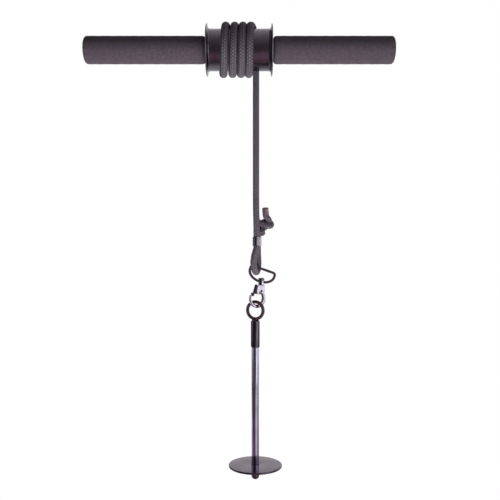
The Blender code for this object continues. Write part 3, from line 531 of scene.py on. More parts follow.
def entryPoints(s=ropeSet):
    # Straight out of the drum's inside, then round a bend on to the first turn
    angle = 2 * math.pi * s["entryTurn"]
    start = turnPoint(s["entryTurn"])
    forward = Vector((0, -math.cos(angle), math.sin(angle)))
    inward = Vector((0, math.sin(angle), math.cos(angle)))
    middle = start + s["entryBend"] * inward
    points = [middle - s["entryBend"] * forward + share * 2 * s["radius"] * inward for share in (1.0, 0.5)]
    for step in range(24):
        bend = math.pi / 2 * (1 - step / 24)
        points.append(middle - s["entryBend"] * (inward * math.cos(bend) + forward * math.sin(bend)))
    return points


def sleeveChannel(side, s=ropeSet):
    reach = s["radius"] + 0.00015
    yaw = math.radians(s["sleeve"][3])
    return s["sleeve"][0] + side * reach * math.sin(yaw), s["hangY"] + side * reach * math.cos(yaw)


def endRoute(s=ropeSet):
    # Through the sleeve, under the dee's wire, back up through the sleeve and off to the knot
    x, y, end = s["fallX"], s["hangY"], s["fallEnd"]
    frontX, frontY = sleeveChannel(-1)
    backX, backY = sleeveChannel(1)
    hx, hy, hz = s["hang"]
    reach = s["reach"]
    top = s["sleeve"][1]
    foot = top - s["sleeve"][2]
    kx, ky, kz = s["knot"]
    return [
        (x, y, end - 0.0003), (x, y, end - 0.014), (x + 0.0002, y - 0.0018, end - 0.032),
        (frontX - 0.0001, frontY + 0.0012, end - 0.054), (frontX, frontY, top + 0.004),
        (frontX, frontY, foot - 0.001), (hx - 0.0027, hy - reach, hz + 0.018),
        (hx - 0.0042, hy - reach - 0.0005, hz + 0.006), (hx - 0.0025, hy - reach * 0.80, hz - reach * 0.66),
        (hx, hy, hz - reach), (hx + 0.0020, hy + reach * 0.80, hz - reach * 0.66),
        (hx + 0.0032, hy + reach + 0.0005, hz + 0.006), (hx + 0.0026, hy + reach, hz + 0.018),
        (backX, backY, foot - 0.001), (backX, backY, top + 0.0005), (backX + 0.0020, backY - 0.0004, top + 0.0056),
        (kx - 0.0085, ky + 0.0006, kz - 0.0092),
    ]


def smoothLine(route):
    # A smooth curve through the points, as an array
    spots = [Vector(spot) for spot in route]
    ends = [2 * spots[0] - spots[1]] + spots + [2 * spots[-1] - spots[-2]]
    dense = []
    for before, start, end, after in zip(ends, ends[1:], ends[2:], ends[3:]):
        for step in range(24):
            t = step / 24
            dense.append(0.5 * (2 * start + (end - before) * t + (2 * before - 5 * start + 4 * end - after) * t * t
                                + (3 * start - before - 3 * end + after) * t ** 3))
    dense.append(spots[-1])
    return np.array([tuple(spot) for spot in dense])


def evenLine(line, step):
    lengths = lengthsAlong(line)
    count = max(2, int(round(lengths[-1] / step)))
    marks = np.linspace(0, lengths[-1], count + 1)
    return np.stack([np.interp(marks, lengths, line[:, axis]) for axis in range(3)], 1)


def tieKnot(entry, leave, beside, s):
    # An overhand knot pulled tight: a loose one shrinks until its rope touches itself
    start, end, wide = entry[-1], leave[0], 2 * s["radius"]
    up = (end - start) / np.linalg.norm(end - start)
    aside = np.cross(up, (0, 1, 0))
    aside /= -np.linalg.norm(aside)
    t = np.linspace(-s["half"], s["half"], s["points"])
    shape = np.stack([t ** 3 - 3 * t, t ** 4 - 4 * t ** 2, t ** 5 - 10 * t], 1) * s["scale"]
    loose = (start + end) / 2 + shape @ np.array([aside, np.cross(aside, up), up])
    line = np.vstack([entry, loose, leave])
    for turn in range(s["passes"]):
        if turn % s["renew"] == 0:
            body = evenLine(np.vstack([entry[-1:], line[len(entry):-len(leave)], leave[:1]]), s["step"])[1:-1]
            line = np.vstack([entry, body, leave])
            order = np.arange(len(line))
            apart = np.abs(np.subtract.outer(order, order)) * s["step"] > s["own"] * s["radius"]
        move = np.zeros_like(line)
        move[1:-1] += s["pull"] * ((line[:-2] + line[2:]) / 2 - line[1:-1])
        off = line[:, :2] - beside  # keeps clear of the straight rope beside it
        near = np.linalg.norm(off, axis=1)
        lean = np.clip((s["clear"] + s["radius"] - near) / near, 0, s["mostLean"])
        move[:, :2] += s["aside"] * off * lean[:, None]
        gap = line[:, None] - line[None]
        far = np.sqrt((gap ** 2).sum(2)) + 1e-9
        push = np.where(apart & (far < wide), (wide - far) / far, 0)
        move += s["push"] * (gap * push[..., None]).sum(1) / np.maximum(1, (push > 0).sum(1))[:, None]
        move[:len(entry)] = move[-len(leave):] = 0
        line = line + np.clip(move, -s["most"], s["most"])
    # Ease the two joins to the straight rope
    joins = (len(entry), len(line) - len(leave))
    ease = sum(np.exp(-((np.arange(len(line)) - join) / s["joinWidth"]) ** 2) for join in joins)
    ease[:2] = ease[-2:] = 0
    for turn in range(s["joinPasses"]):
        line[1:-1] += 0.5 * ease[1:-1, None] * ((line[:-2] + line[2:]) / 2 - line[1:-1])
    return line


def transportFrames(line):
    # Side and up directions carried along the line without twist
    along = np.gradient(line, axis=0)
    along /= np.linalg.norm(along, axis=1)[:, None]
    side = np.cross(along[0], (1, 0, 0))
    side /= np.linalg.norm(side)
    sides = [side]
    for number in range(1, len(line)):
        side = sides[-1] - along[number] * np.dot(sides[-1], along[number])
        sides.append(side / np.linalg.norm(side))
    sides = np.array(sides)
    return sides, np.cross(along, sides)


def roundLine(line, sides):
    # Directions outward, for every place on the line and every side
    angle = roundAngles(sides)
    side, up = transportFrames(line)
    return angle, np.cos(angle)[None, :, None] * side[:, None] + np.sin(angle)[None, :, None] * up[:, None]


def strandPattern(length, angle, s):
    # Height, tone, lie and painted gap shade of a two-way braid at a place on the sheath
    u = angle / (2 * np.pi) * s["strands"]
    v = length / s["advance"] * s["strands"]
    a, b = u + v, u - v
    cellA, cellB = np.floor(a), np.floor(b)
    onTop = np.mod(cellA + cellB, 2) < 0.5
    across = np.where(onTop, a - cellA, b - cellB)
    along = np.where(onTop, b - cellB, a - cellA)
    edge, dip, end = s["crown"]
    crown = (1 - np.abs(2 * across - 1) ** edge) * (1 - dip * np.abs(2 * along - 1) ** end)
    strand = np.where(onTop, np.mod(cellA, s["strands"]), np.mod(cellB, s["strands"]) + s["strands"])
    tone = np.array(s["tones"])[strand.astype(int)]
    gap = 1 - np.clip(crown * s["gapShadeDepth"], 0, 1)
    return crown, {"strandTone": tone, "strandLie": onTop.astype(float), "strandShade": gap}


def layBraid(mesh, lengths, s):
    # UV: across the strands and along the rope, in half strands
    wide = s["strands"] * 2
    count = len(lengths) * s["sides"]
    table = np.zeros((len(mesh.vertices), 2))
    table[:count, 0] = np.tile(np.arange(s["sides"]) / s["sides"], len(lengths)) * wide
    table[:count, 1] = np.repeat(lengths / s["advance"] * wide, s["sides"])
    corners = np.zeros(len(mesh.loops), np.int32)
    mesh.loops.foreach_get("vertex_index", corners)
    spots = table[corners]
    starts = np.zeros(len(mesh.polygons), np.int32)
    mesh.polygons.foreach_get("loop_start", starts)
    for corner in range(3):  # a face that crosses the seam keeps its corners together
        jump = spots[starts + corner, 0] < spots[starts, 0] - wide / 2
        spots[(starts + corner)[jump], 0] += wide
    mesh.uv_layers.new(name="alongRope").data.foreach_set("uv", spots.astype(np.float32).ravel())


def ropeMesh(name, part, rope, s):
    # One part of the whole rope, with its marks for the shader
    line, radii, squeeze, lengths, out, crown = (values[part] for values in rope["shape"])
    marks = {label: values[part] for label, values in rope["marks"].items()}
    reach = radii[:, None] * (1 + s["relief"] / s["radius"] * (crown - s["middle"]))
    offset = out * reach[..., None]
    offset[..., 0] *= 1 + squeeze[:, None]
    rings = line[:, None] + offset
    start, over = s["contact"]
    contactShade = np.clip((np.abs(out[..., 0]) - start) / over, 0, 1) * np.clip(squeeze[:, None] / s["widen"], 0, 1)
    marks["strandShade"] = np.maximum(marks["strandShade"], contactShade)  # painted shade where a turn lies against the next
    marks["warmFleck"], marks["coolFleck"] = np.zeros_like(reach), np.zeros_like(reach)
    for x, z, wide, high, label in s["flecks"]:  # coloured yarns near the cut end
        near = ((rings[..., 0] - x) / wide) ** 2 + ((rings[..., 2] - z) / high) ** 2
        marks[label] += np.clip(1.6 - near, 0, 1) * (out[..., 1] < 0.1)
    mesh = ringMesh(name, rings)
    for label, values in marks.items():
        markMesh(mesh, label, values.ravel())
    layBraid(mesh, lengths, s)
    mesh.shade_smooth()
    return mesh


def makeRope(s):
    entry = entryPoints()
    span = s["liftOff"] - s["entryTurn"]
    count = int(round(span * s["perTurn"]))
    turns = [turnPoint(s["entryTurn"] + span * step / count) for step in range(count + 1)]
    drum = np.array([tuple(spot) for spot in entry + turns + [turns[-1] + Vector((0, 0, s["fallStart"] + 0.0001))]])
    rows = s["fallRows"]
    sway = s["hangY"] + (s["turnRadius"] - s["hangY"]) * np.linspace(1, 0, rows) ** 2
    fall = np.stack([np.full(rows, s["fallX"]), sway, np.linspace(s["fallStart"] - 0.0001, s["fallEnd"], rows)], 1)
    ending = smoothLine(endRoute())
    knotMiddle = np.array(s["knot"])
    stub = np.linspace(knotMiddle + s["knotExit"], np.array(s["stubTop"]), s["stubRows"])
    ending, approach = ending[:-s["approachRows"]], evenLine(ending[-s["approachRows"]:], knotSet["step"])
    knotted = tieKnot(approach[:-2], stub[2:], np.array((s["fallX"], s["hangY"])), knotSet)
    whole = evenLine(np.vstack([drum, fall, ending, knotted]), s["step"])
    lengths = lengthsAlong(whole)
    drumLength = lengthsAlong(drum)[-1]
    split = int(np.searchsorted(lengths, drumLength))
    # Thinner in the tight knot, round at the cut end, pressed wide on the drum
    nearKnot = np.linalg.norm(whole - knotMiddle, axis=1)
    tight = np.clip((knotSet["tightFrom"] - nearKnot) / knotSet["tightOver"], 0, 1)
    tight *= lengths > drumLength + knotSet["after"]
    radii = s["radius"] + (knotSet["radius"] + knotSet["swell"] - s["radius"]) * smoothStep(tight)
    cut = np.maximum(0, s["cutRound"] - lengths[-1] + lengths) / s["cutReach"]
    radii *= np.sqrt(np.clip(1 - cut ** 2, 0.05, 1))
    squeeze = s["widen"] * np.clip((drumLength - s["widenTo"] - lengths) / s["widenOff"], 0, 1)
    squeeze *= np.clip(lengths / s["widenOver"], 0, 1)
    angle, out = roundLine(whole, s["sides"])
    crown, marks = strandPattern(lengths[:, None], angle[None], s)
    rope = {"shape": (whole, radii, squeeze, lengths, out, crown), "marks": marks}
    wound = addObject("rope_turns", ropeMesh("rope_turns", slice(0, split + 1), rope, s))
    dress(wound, "roller", "ropeBraid", ["rope_winding"])
    hung = addObject("rope_line", ropeMesh("rope_line", slice(split, len(whole)), rope, s))
    paint(hung, "ropeBraid")
    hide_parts("rope_fall", "rope_loop", "rope_knot", "rope_tail")
    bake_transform(hung)


makeRope(ropeSet)


# Grips: foam sleeves with rounded ends
gripSet = {"start": 0.0493, "end": 0.2248, "radius": 0.020, "bore": 0.0128, "edge": 0.0045, "skin": 0.004, "rows": 150,
           "sides": 112, "swell": 0.00012,
           # Lengthwise, around, phase (by the side where there is none), share
           "waves": ((310, 3, None, 1.0), (520, -5, 2.1, 0.6), (1400, 17, 0.0, 0.3), (2100, -23, 1.3, 0.3))}


def makeGrip(name, sign, s):
    inset = s["radius"] - s["edge"]
    first, last = s["start"] + s["edge"], s["end"] - s["edge"]
    rows = [(s["bore"], s["start"])] + arc((inset, first), s["edge"], -90, 0, 12)
    rows += [(s["radius"], x) for x in np.linspace(first, last, s["rows"])[1:-1]]
    rows += arc((inset, last), s["edge"], 0, 90, 12) + [(s["bore"], s["end"])]
    rows += [(s["bore"], x) for x in np.linspace(s["end"], s["start"], 12)[1:-1]]
    profile = np.array(rows)
    angle = roundAngles(s["sides"])
    radius, along = profile[:, :1], profile[:, 1:]
    # The foam's slight unevenness, not the same on both grips
    wave = sum(np.sin(lengthwise * along + around * angle + (sign if phase is None else phase)) * share
               for lengthwise, around, phase, share in s["waves"])
    reach = radius + np.clip((radius - s["bore"]) / s["skin"], 0, 1) * s["swell"] * (wave * 0.5 - 0.6)
    rings = np.stack([sign * along + 0 * angle, reach * np.cos(angle), reach * np.sin(angle)], -1)
    mesh = ringMesh(name, rings, wrap=True)
    grip = shadedPiece(name, mesh, "roller", "gripFoam", ["grip_left" if sign < 0 else "grip_right"], 50)


makeGrip("grip_foam_left", -1, gripSet)
makeGrip("grip_foam_right", 1, gripSet)
print("grips made")


# End plugs: moulded, with a shallow dished face
plugSet = {"start": 0.2219, "face": 0.2245, "radius": 0.0125, "spigot": 0.0097, "depth": 0.016, "dish": 0.0005}


def makePlug(name, turn, s):
    inner, dish = s["start"] - s["depth"], s["face"] - s["dish"]
    rows = [(0, inner), (s["spigot"], inner), (s["spigot"], s["start"]), (s["radius"], s["start"]),
            (s["radius"], s["face"]), (0.0092, s["face"]), (0.0088, dish), (0.0018, dish),
            (0.0010, dish - s["dish"]), (0, dish - s["dish"])]
    mesh = turnedMesh(name, rounded(rows, 0.0006), 96, turn)
    shadedPiece(name, mesh, "roller", "plugPlastic", [name.replace("moulded", "plug")])


makePlug("end_moulded_left", toLeft, plugSet)
makePlug("end_moulded_right", toRight, plugSet)


# Drum: plated shell with the rope's mouth, two flanges, countersunk screws
drumSet = {"radius": 0.0299, "wall": 0.0025, "half": 0.0456, "flare": 0.0034, "flangeX": 0.047, "flangeRadius": 0.0375,
           "flangeThick": 0.0022, "bore": 0.0128, "mouth": 0.0053, "screws": 3, "screwCircle": 0.01925,
           "screwRadius": 0.0018, "screwHead": 0.0034, "screwLength": 0.009, "key": 0.0012, "keyDepth": 0.0014,
           "sink": 0.004, "sinkPlay": 0.0002, "over": 0.001}


def tubeMesh(name, points, radius, sides):
    line = np.array([tuple(spot) for spot in points])
    return ringMesh(name, line[:, None] + roundLine(line, sides)[1] * radius)


def makeDrum(s):
    # The shell flares out to both flanges in a concave root
    inner, outer, flare, half = s["radius"] - s["wall"], s["radius"] + s["flare"], s["flare"], s["half"]
    profile = [(inner, -half)] + arc((outer, -half + flare), flare, -90, -180, 10)
    profile += [(s["radius"], x) for x in np.linspace(-half + flare, half - flare, 14)[1:-1]]
    profile += arc((outer, half - flare), flare, 180, 90, 10) + [(inner, half)]
    shell = addObject("drum_plated", turnedMesh("drum_plated", profile, 160, toRight, True))
    mouth = tubeMesh("mouth", entryPoints() + [turnPoint(ropeSet["entryTurn"])], s["mouth"], 40)
    cutAway(shell, mouth)
    dress(shell, "roller", "drumChrome", ["drum_shell"])


def screwPart(s):
    # One screw about local Z, with a hexagon socket in its head
    face = s["flangeX"] + s["flangeThick"] / 2 - 0.0001
    tip = face - s["screwLength"]
    rows = [(0, tip), (s["screwRadius"], tip), (s["screwRadius"], face - s["screwHead"] + s["screwRadius"]),
            (s["screwHead"], face - 0.0002), (s["screwHead"], face), (0, face)]
    screw = addObject("screwShape", turnedMesh("screwShape", rounded(rows, 0.00015, 2), 48))
    cutAway(screw, rodMesh("socket", s["key"], face - s["keyDepth"], face + s["over"], 6))
    return screw


def makeFlange(side, turn, s):
    half = s["flangeThick"] / 2
    face = s["flangeX"] + half
    rows = [(s["bore"], s["flangeX"] - half)]
    rows += arc((s["flangeRadius"] - half, s["flangeX"]), half, -90, 90, 14)
    rows += [(s["bore"], face)]
    name = "flange_plated_" + side
    flange = addObject(name, turnedMesh(name, rows, 192, turn, True))
    shank, head = s["screwRadius"] + s["sinkPlay"], s["screwHead"] + s["sinkPlay"]
    rows = [(0, face - s["sink"]), (shank, face - s["sink"]), (shank, face - head + shank), (head, face),
            (head, face + s["over"]), (0, face + s["over"])]
    spots = arc((0, 0), s["screwCircle"], 90, 450, s["screws"])[:-1]
    cutAway(flange, *(turnedMesh("sink", rows, 40, turn @ Matrix.Translation((*spot, 0))) for spot in spots))
    dress(flange, "roller", "flangeChrome", ["flange_" + side])
    shape = screwPart(s)
    screws = addObject("flange_screws_" + side, bpy.data.meshes.new("flange_screws_" + side))
    runTree(screws, roundTree, {"Count": s["screws"], "Circle Radius": s["screwCircle"], "Shape": shape,
                                "Material": finishes["tubeSteel"]})
    screws.data.transform(turn @ Matrix.Rotation(math.pi / 2, 4, 'Z'))
    bpy.data.objects.remove(shape)
    names = [f"flange_screw_{side}_{number + 1}" for number in range(s["screws"])]
    dress(screws, "roller", "tubeSteel", names)


makeDrum(drumSet)
makeFlange("left", toLeft, drumSet)
makeFlange("right", toRight, drumSet)
print("drum made")


# Crimped sleeve on both legs of the rope, with its press marks and seam
sleeveSet = {"wall": 0.0010, "inner": 0.0051, "spacing": 0.00495, "seam": 0.0012, "seamDepth": 0.00035,
             "seamWidth": 0.00022, "crimps": (0.30, 0.70), "crimpDepth": 0.00028, "crimpWidth": 0.085,
             "lip": 0.0004, "shadeTo": 0.0252}


def ovalRing(radius, spacing, sides):
    # Even points round an oval with their directions outward, one half after the other
    straight = 2 * spacing
    half = straight + math.pi * radius
    spots = []
    for side in range(sides):
        walked = 2 * half * side / sides
        sign = 1 if walked < half else -1
        if sign < 0:
            walked -= half
        if walked < straight:
            spots.append((walked - spacing, -radius, 0, -1))
        else:
            bend = (walked - straight) / radius - math.pi / 2
            spots.append((spacing + radius * math.cos(bend), radius * math.sin(bend), math.cos(bend), math.sin(bend)))
        spots[-1] = [sign * value for value in spots[-1]]
    return np.array(spots)


def paintShadeLeft(mesh, edge, above=9.0):
    # Marks painted shade, darker left of a place or above one
    spots = vertexSpots(mesh)
    left = np.maximum((edge - spots[:, 0]) / 0.0008, (spots[:, 2] - above) / 0.0006)
    markMesh(mesh, "paintedShade", 0.9 * np.clip(left, 0, 1))


def makeSleeve(s):
    x, top, height, yaw = ropeSet["sleeve"]
    place = Matrix.Translation((x, ropeSet["hangY"], top)) @ Matrix.Rotation(math.radians(90 - yaw), 4, 'Z')
    spots = ovalRing(s["inner"] + s["wall"], s["spacing"], 160)
    base, normal = spots[:, :2], spots[:, 2:]
    world = np.array([tuple(place.to_3x3() @ Vector((a, b, 0))) for a, b in base])
    seam = np.exp(-(((world[:, 0] - s["seam"]) / s["seamWidth"]) ** 2)) * (world[:, 1] < 0)
    rings = []
    for level in np.linspace(0, 1, 70):
        press = sum(math.exp(-(((level - mark) / s["crimpWidth"]) ** 2)) for mark in s["crimps"])
        ease = max(0.0, s["lip"] - min(level, 1 - level) * height)
        inset = s["crimpDepth"] * press * (0.55 + 0.45 * np.abs(normal[:, 1])) + ease + s["seamDepth"] * seam
        rings.append(np.c_[base - normal * inset[:, None], np.full(len(base), -level * height)])
    spots = ovalRing(s["inner"], s["spacing"], 160)[:, :2]
    for level in (1, 0.66, 0.33, 0):
        rings.append(np.c_[spots, np.full(len(spots), -level * height)])
    mesh = ringMesh("crimped_sleeve", np.array(rings), wrap=True)
    mesh.transform(place)
    # Painted shade on the sleeve's left side
    paintShadeLeft(mesh, s["shadeTo"])
    shadedPiece("crimped_sleeve", mesh, "rope_end", "ferruleAlloy", ["ferrule"], 40)


makeSleeve(sleeveSet)


# Wire dee, bent from one wire and butt welded on its straight bar
deeSet = {"x": 0.0356, "z": -0.3202, "tilt": 19.5, "half": 0.0192, "shoulder": 0.006, "depth": 0.0131,
          "corner": 0.0035, "wire": 0.00195, "barrelAt": 0.0034, "weldAt": 0.0085, "weldHalf": 0.0011,
          "weldRise": 0.00038, "lumps": ((0.10, 3, 5), (0.06, 7, -9))}


def deePoint(along, down, s=deeSet):
    tilt = math.radians(s["tilt"])
    return Vector((s["x"] + along * math.cos(tilt) - down * math.sin(tilt), ropeSet["hangY"],
                   s["z"] - along * math.sin(tilt) - down * math.cos(tilt)))


def deeDepth(along, s=deeSet):
    return s["shoulder"] + s["depth"] * math.sqrt(max(0.0, 1 - (along / s["half"]) ** 2))


def makeDee(s):
    inset = s["half"] - s["corner"]
    outline = arc((-inset, s["corner"]), s["corner"], 180, 270, 14)
    outline += [(x, 0.0) for x in np.linspace(-inset, inset, 24)[1:-1]]
    outline += arc((inset, s["corner"]), s["corner"], 270, 360, 14)
    outline += [(s["half"] * x, s["shoulder"] + s["depth"] * y) for x, y in arc((0, 0), 1, 0, 180, 90)[1:-1]]
    points = [tuple(deePoint(along, down)) for along, down in outline]
    mesh = bpy.data.meshes.new("dee_wire")
    mesh.from_pydata(points, [(a, (a + 1) % len(points)) for a in range(len(points))], [])
    dee = addObject("dee_wire", mesh)
    runTree(dee, wireTree, {"Wire Radius": s["wire"], "Sides": 32, "Material": finishes["wirePaint"]})
    shade(dee.data, 60)
    dress(dee, "dee", "wirePaint", ["d_ring"])
    # The weld's low bead, a lumpy ring on the bar
    angle = roundAngles(40)
    rings = []
    centre = np.array(tuple(deePoint(s["weldAt"], 0)))
    along = np.array(tuple((deePoint(1, 0) - deePoint(0, 0)).normalized()))
    up = np.cross(along, (0, 1, 0))
    for level in np.linspace(-1, 1, 26):
        lump = 1 + sum(high * np.sin(around * angle + drift * level) for high, around, drift in s["lumps"])
        reach = s["wire"] - 0.0001 + s["weldRise"] * max(0.0, 1 - level * level) ** 0.5 * lump
        ring = centre + along * level * s["weldHalf"]
        rings.append(ring + np.outer(np.cos(angle) * reach, (0, 1, 0)) + np.outer(np.sin(angle) * reach, up))
    mesh = ringMesh("dee_weld_bead", np.array(rings))
    shadedPiece("dee_weld_bead", mesh, "dee", "wirePaint", angle=60)


makeDee(deeSet)
print("dee made")


# Swivel barrel: hangs on the dee's wire, its headed stem turns in the hook
barrelSet = {"radius": 0.0047, "above": 0.0062, "below": 0.0042, "stem": 0.0019, "head": 0.0028,
             "headThick": 0.0016, "roof": 0.0026, "hole": 0.00245, "shadeTo": 0.0008, "shadeAbove": 0.0014}
barrelSpot = deePoint(deeSet["barrelAt"], deeDepth(deeSet["barrelAt"]))
hookPlace = Matrix.Translation(barrelSpot) @ Matrix.Rotation(math.radians(32), 4, 'Z')


def makeBarrel(s):
    foot = -s["below"]
    headTop = foot - s["roof"] - 0.0006
    headFoot = headTop - s["headThick"]
    rows = [(0, headFoot), (s["head"], headFoot), (s["head"], headTop), (s["stem"], headTop), (s["stem"], foot),
            (s["radius"], foot), (s["radius"], s["above"] - 0.0010), (s["radius"] - 0.0012, s["above"]),
            (0, s["above"])]
    place = Matrix.Translation(barrelSpot)
    barrel = addObject("swivel_turned", turnedMesh("swivel_turned", rounded(rows, 0.0006, 5), 96, place))
    # The wire's hole, flared at both ends, runs along the dee
    near = [deeSet["barrelAt"] + step for step in (-0.0002, 0.0002)]
    one, two = (deePoint(along, deeDepth(along)) for along in near)
    turn = (two - one).normalized().to_track_quat('Z', 'Y').to_matrix().to_4x4()
    flare = [(s["hole"], 0.0036), (s["hole"] + 0.0008, 0.0050), (s["hole"] + 0.0016, 0.008), (0, 0.008)]
    flare = [(radius, -height) for radius, height in reversed(flare)] + flare
    cutAway(barrel, turnedMesh("wireHole", flare, 48, place @ turn))
    # Painted shade on the barrel's left side and top
    paintShadeLeft(barrel.data, barrelSpot.x + s["shadeTo"], barrelSpot.z + s["shadeAbove"])
    dress(barrel, "barrel", "barrelChrome", ["swivel_barrel"])


makeBarrel(barrelSet)


# Trigger snap hook, drawn in its own plane: P to the right of the stem, Z down from the wire
hookSet = {
    "thick": 0.0076, "play": 0.0003, "rightP": 0.0041, "leftP": -0.0108, "bodyLength": 0.0139,
    "bowlThick": 0.0056, "bowlP": -0.0073, "bowlDrop": 0.0251, "outer": 0.0140, "inner": 0.0098, "innerP": -0.0084,
    "innerRise": 0.0014, "noseThick": 0.0048, "round": 2.5, "edge": 0.0009, "nose": -200,
    "gateP": -0.0020, "gateDrop": 0.0134, "gateLean": 0.27, "gateThumb": 0.0100, "gateThick": 0.0054,
    "gateEye": 0.0030, "cheek": 0.0006, "slot": 0.0048, "rivet": 0.0011, "rivetHead": 0.0019, "rivetDome": 0.0007,
    "web": 0.0016, "ribs": 4, "ribRadius": 0.00035, "ribGap": 0.0012, "gateEdge": 0.0004,
    "melt": (0.00022, 5), "gateMelt": (0.00016, 2), "through": 0.01, "shadeDepth": 0.0007, "shadeOver": 0.0005,
    # The nose's rounded end: how far on, how wide
    "noseEnd": ((0.35, 0.94), (0.62, 0.78), (0.82, 0.58), (0.95, 0.34), (0.995, 0.12)),
}


def bowlMesh(steps, sides, s=hookSet):
    # The hook's bowl: rounded oblong sections from inside the block round to the nose
    top = -barrelSet["below"] - s["play"]
    start = np.array((0.0018, 0, top - s["bodyLength"] + 0.0022))
    sections = [(start, np.array((1.0, 0, 0)), 0.0018, s["bowlThick"] / 2)]
    for step in range(steps + 1):
        angle = math.radians(30 + (s["nose"] - 30) * step / steps)
        ray = np.array((math.cos(angle), 0, math.sin(angle)))
        outer = np.array((s["bowlP"], 0, -s["bowlDrop"])) + s["outer"] * ray
        inner = np.array((s["innerP"], 0, -s["bowlDrop"] + s["innerRise"])) + s["inner"] * ray
        wall = np.linalg.norm(outer - inner)
        late = max(0.0, 2 * step / steps - 1)
        depth = s["bowlThick"] / 2 + (s["noseThick"] - s["bowlThick"]) / 2 * late
        sections.append(((outer + inner) / 2, (outer - inner) / wall, wall / 2, depth))
    middle, across, half, depth = sections[-1]
    along = np.array((-across[2], 0, across[0]))
    along *= 1 if along[2] > 0 else -1
    for lift, share in s["noseEnd"]:
        sections.append((middle + along * half * lift, across, half * share, depth * (0.4 + 0.6 * share)))
    angle = 2 * np.pi * (np.arange(sides) + 0.5) / sides
    wide, deep = (np.sign(part) * np.abs(part) ** (2 / s["round"]) for part in (np.cos(angle), np.sin(angle)))
    rings = [m + np.outer(wide * h, a) + np.outer(deep * d, (0, 1, 0)) for m, a, h, d in sections]
    return ringMesh("bowl", np.array(rings))


def acrossHook(point):
    return Matrix.Translation((point[0], 0, point[1])) @ Matrix.Rotation(math.pi / 2, 4, 'X')


def makeHook(s):
    top = -barrelSet["below"] - s["play"]
    under = top - s["bodyLength"]
    rise = top + s["gateDrop"]
    lean = s["leftP"] + s["gateLean"] * rise
    outline = [(s["rightP"] - 0.0010, top), (s["rightP"] - 0.0003, top - 0.0004), (s["rightP"], top - 0.0012),
               (s["rightP"], under + 0.0022), (s["rightP"] - 0.0022, under + 0.0002), (-0.0018, under),
               (s["gateP"] - 0.0070, under), (s["leftP"] + 0.0012, under + 0.0010),
               (s["leftP"] + 0.0006, under + 0.0026), (s["leftP"] + 0.0001, -s["gateDrop"]),
               (lean - s["gateLean"] * 0.0016, top - 0.0016), (lean + 0.0014, top)]
    hook = addObject("snap_hook", flatMesh("snap_hook", outline, -s["thick"] / 2, s["thick"] / 2))
    bevelEdges(hook, s["edge"], 3)
    x, z = s["gateP"], -s["gateDrop"]
    eye = s["gateEye"] + 0.0005
    slot = arc((x, z), eye, 90, -90, 20) + [(x - 0.0016, z - 0.010), (x - 0.012, z - 0.010), (x - 0.012, z + eye)]
    roof = top - barrelSet["roof"]
    head, stem, rivet = (size + s["play"] for size in (barrelSet["head"], barrelSet["stem"], s["rivet"]))
    tools = [combine(hook, bowlMesh(60, 28), 'UNION')]
    for cut in (flatMesh("slot", slot, -s["slot"] / 2, s["slot"] / 2), rodMesh("pocket", head, z + eye / 2, roof),
                rodMesh("bore", stem, roof - 0.001, top + 0.001),
                rodMesh("rivetHole", rivet, -s["through"], s["through"], 32, acrossHook((x, z)))):
        tools.append(combine(hook, cut, 'DIFFERENCE'))
    soften(hook, tools, *s["melt"])
    # Painted shade along the inside of the bowl, on its right-hand side
    spots = vertexSpots(hook.data)
    deep = np.hypot(spots[:, 0] - s["innerP"], spots[:, 2] + s["bowlDrop"] - s["innerRise"]) - s["inner"]
    shadeShare = np.clip((s["shadeDepth"] - deep) / s["shadeOver"], 0, 1) * (spots[:, 0] > s["innerP"] + 0.002)
    markMesh(hook.data, "paintedShade", 0.9 * shadeShare)
    setDown(hook, hookPlace)
    dress(hook, "hook", "hookChrome", ["hook_body"])


def makeRivet(s):
    face = s["thick"] / 2 + 0.0001
    dome = [(s["rivetHead"] * math.sin(a), face + s["rivetDome"] * math.cos(a)) for a in (1.5, 1.2, 0.9, 0.6, 0.3)]
    rows = [(s["rivet"], face)] + dome + [(0, face + s["rivetDome"])]
    rows = [(radius, -height) for radius, height in reversed(rows)] + rows
    mesh = turnedMesh("lever_rivet", rows, 64, hookPlace @ acrossHook((s["gateP"], -s["gateDrop"])))
    shadedPiece("lever_rivet", mesh, "hook", "gateSteel", ["gate_rivet"])


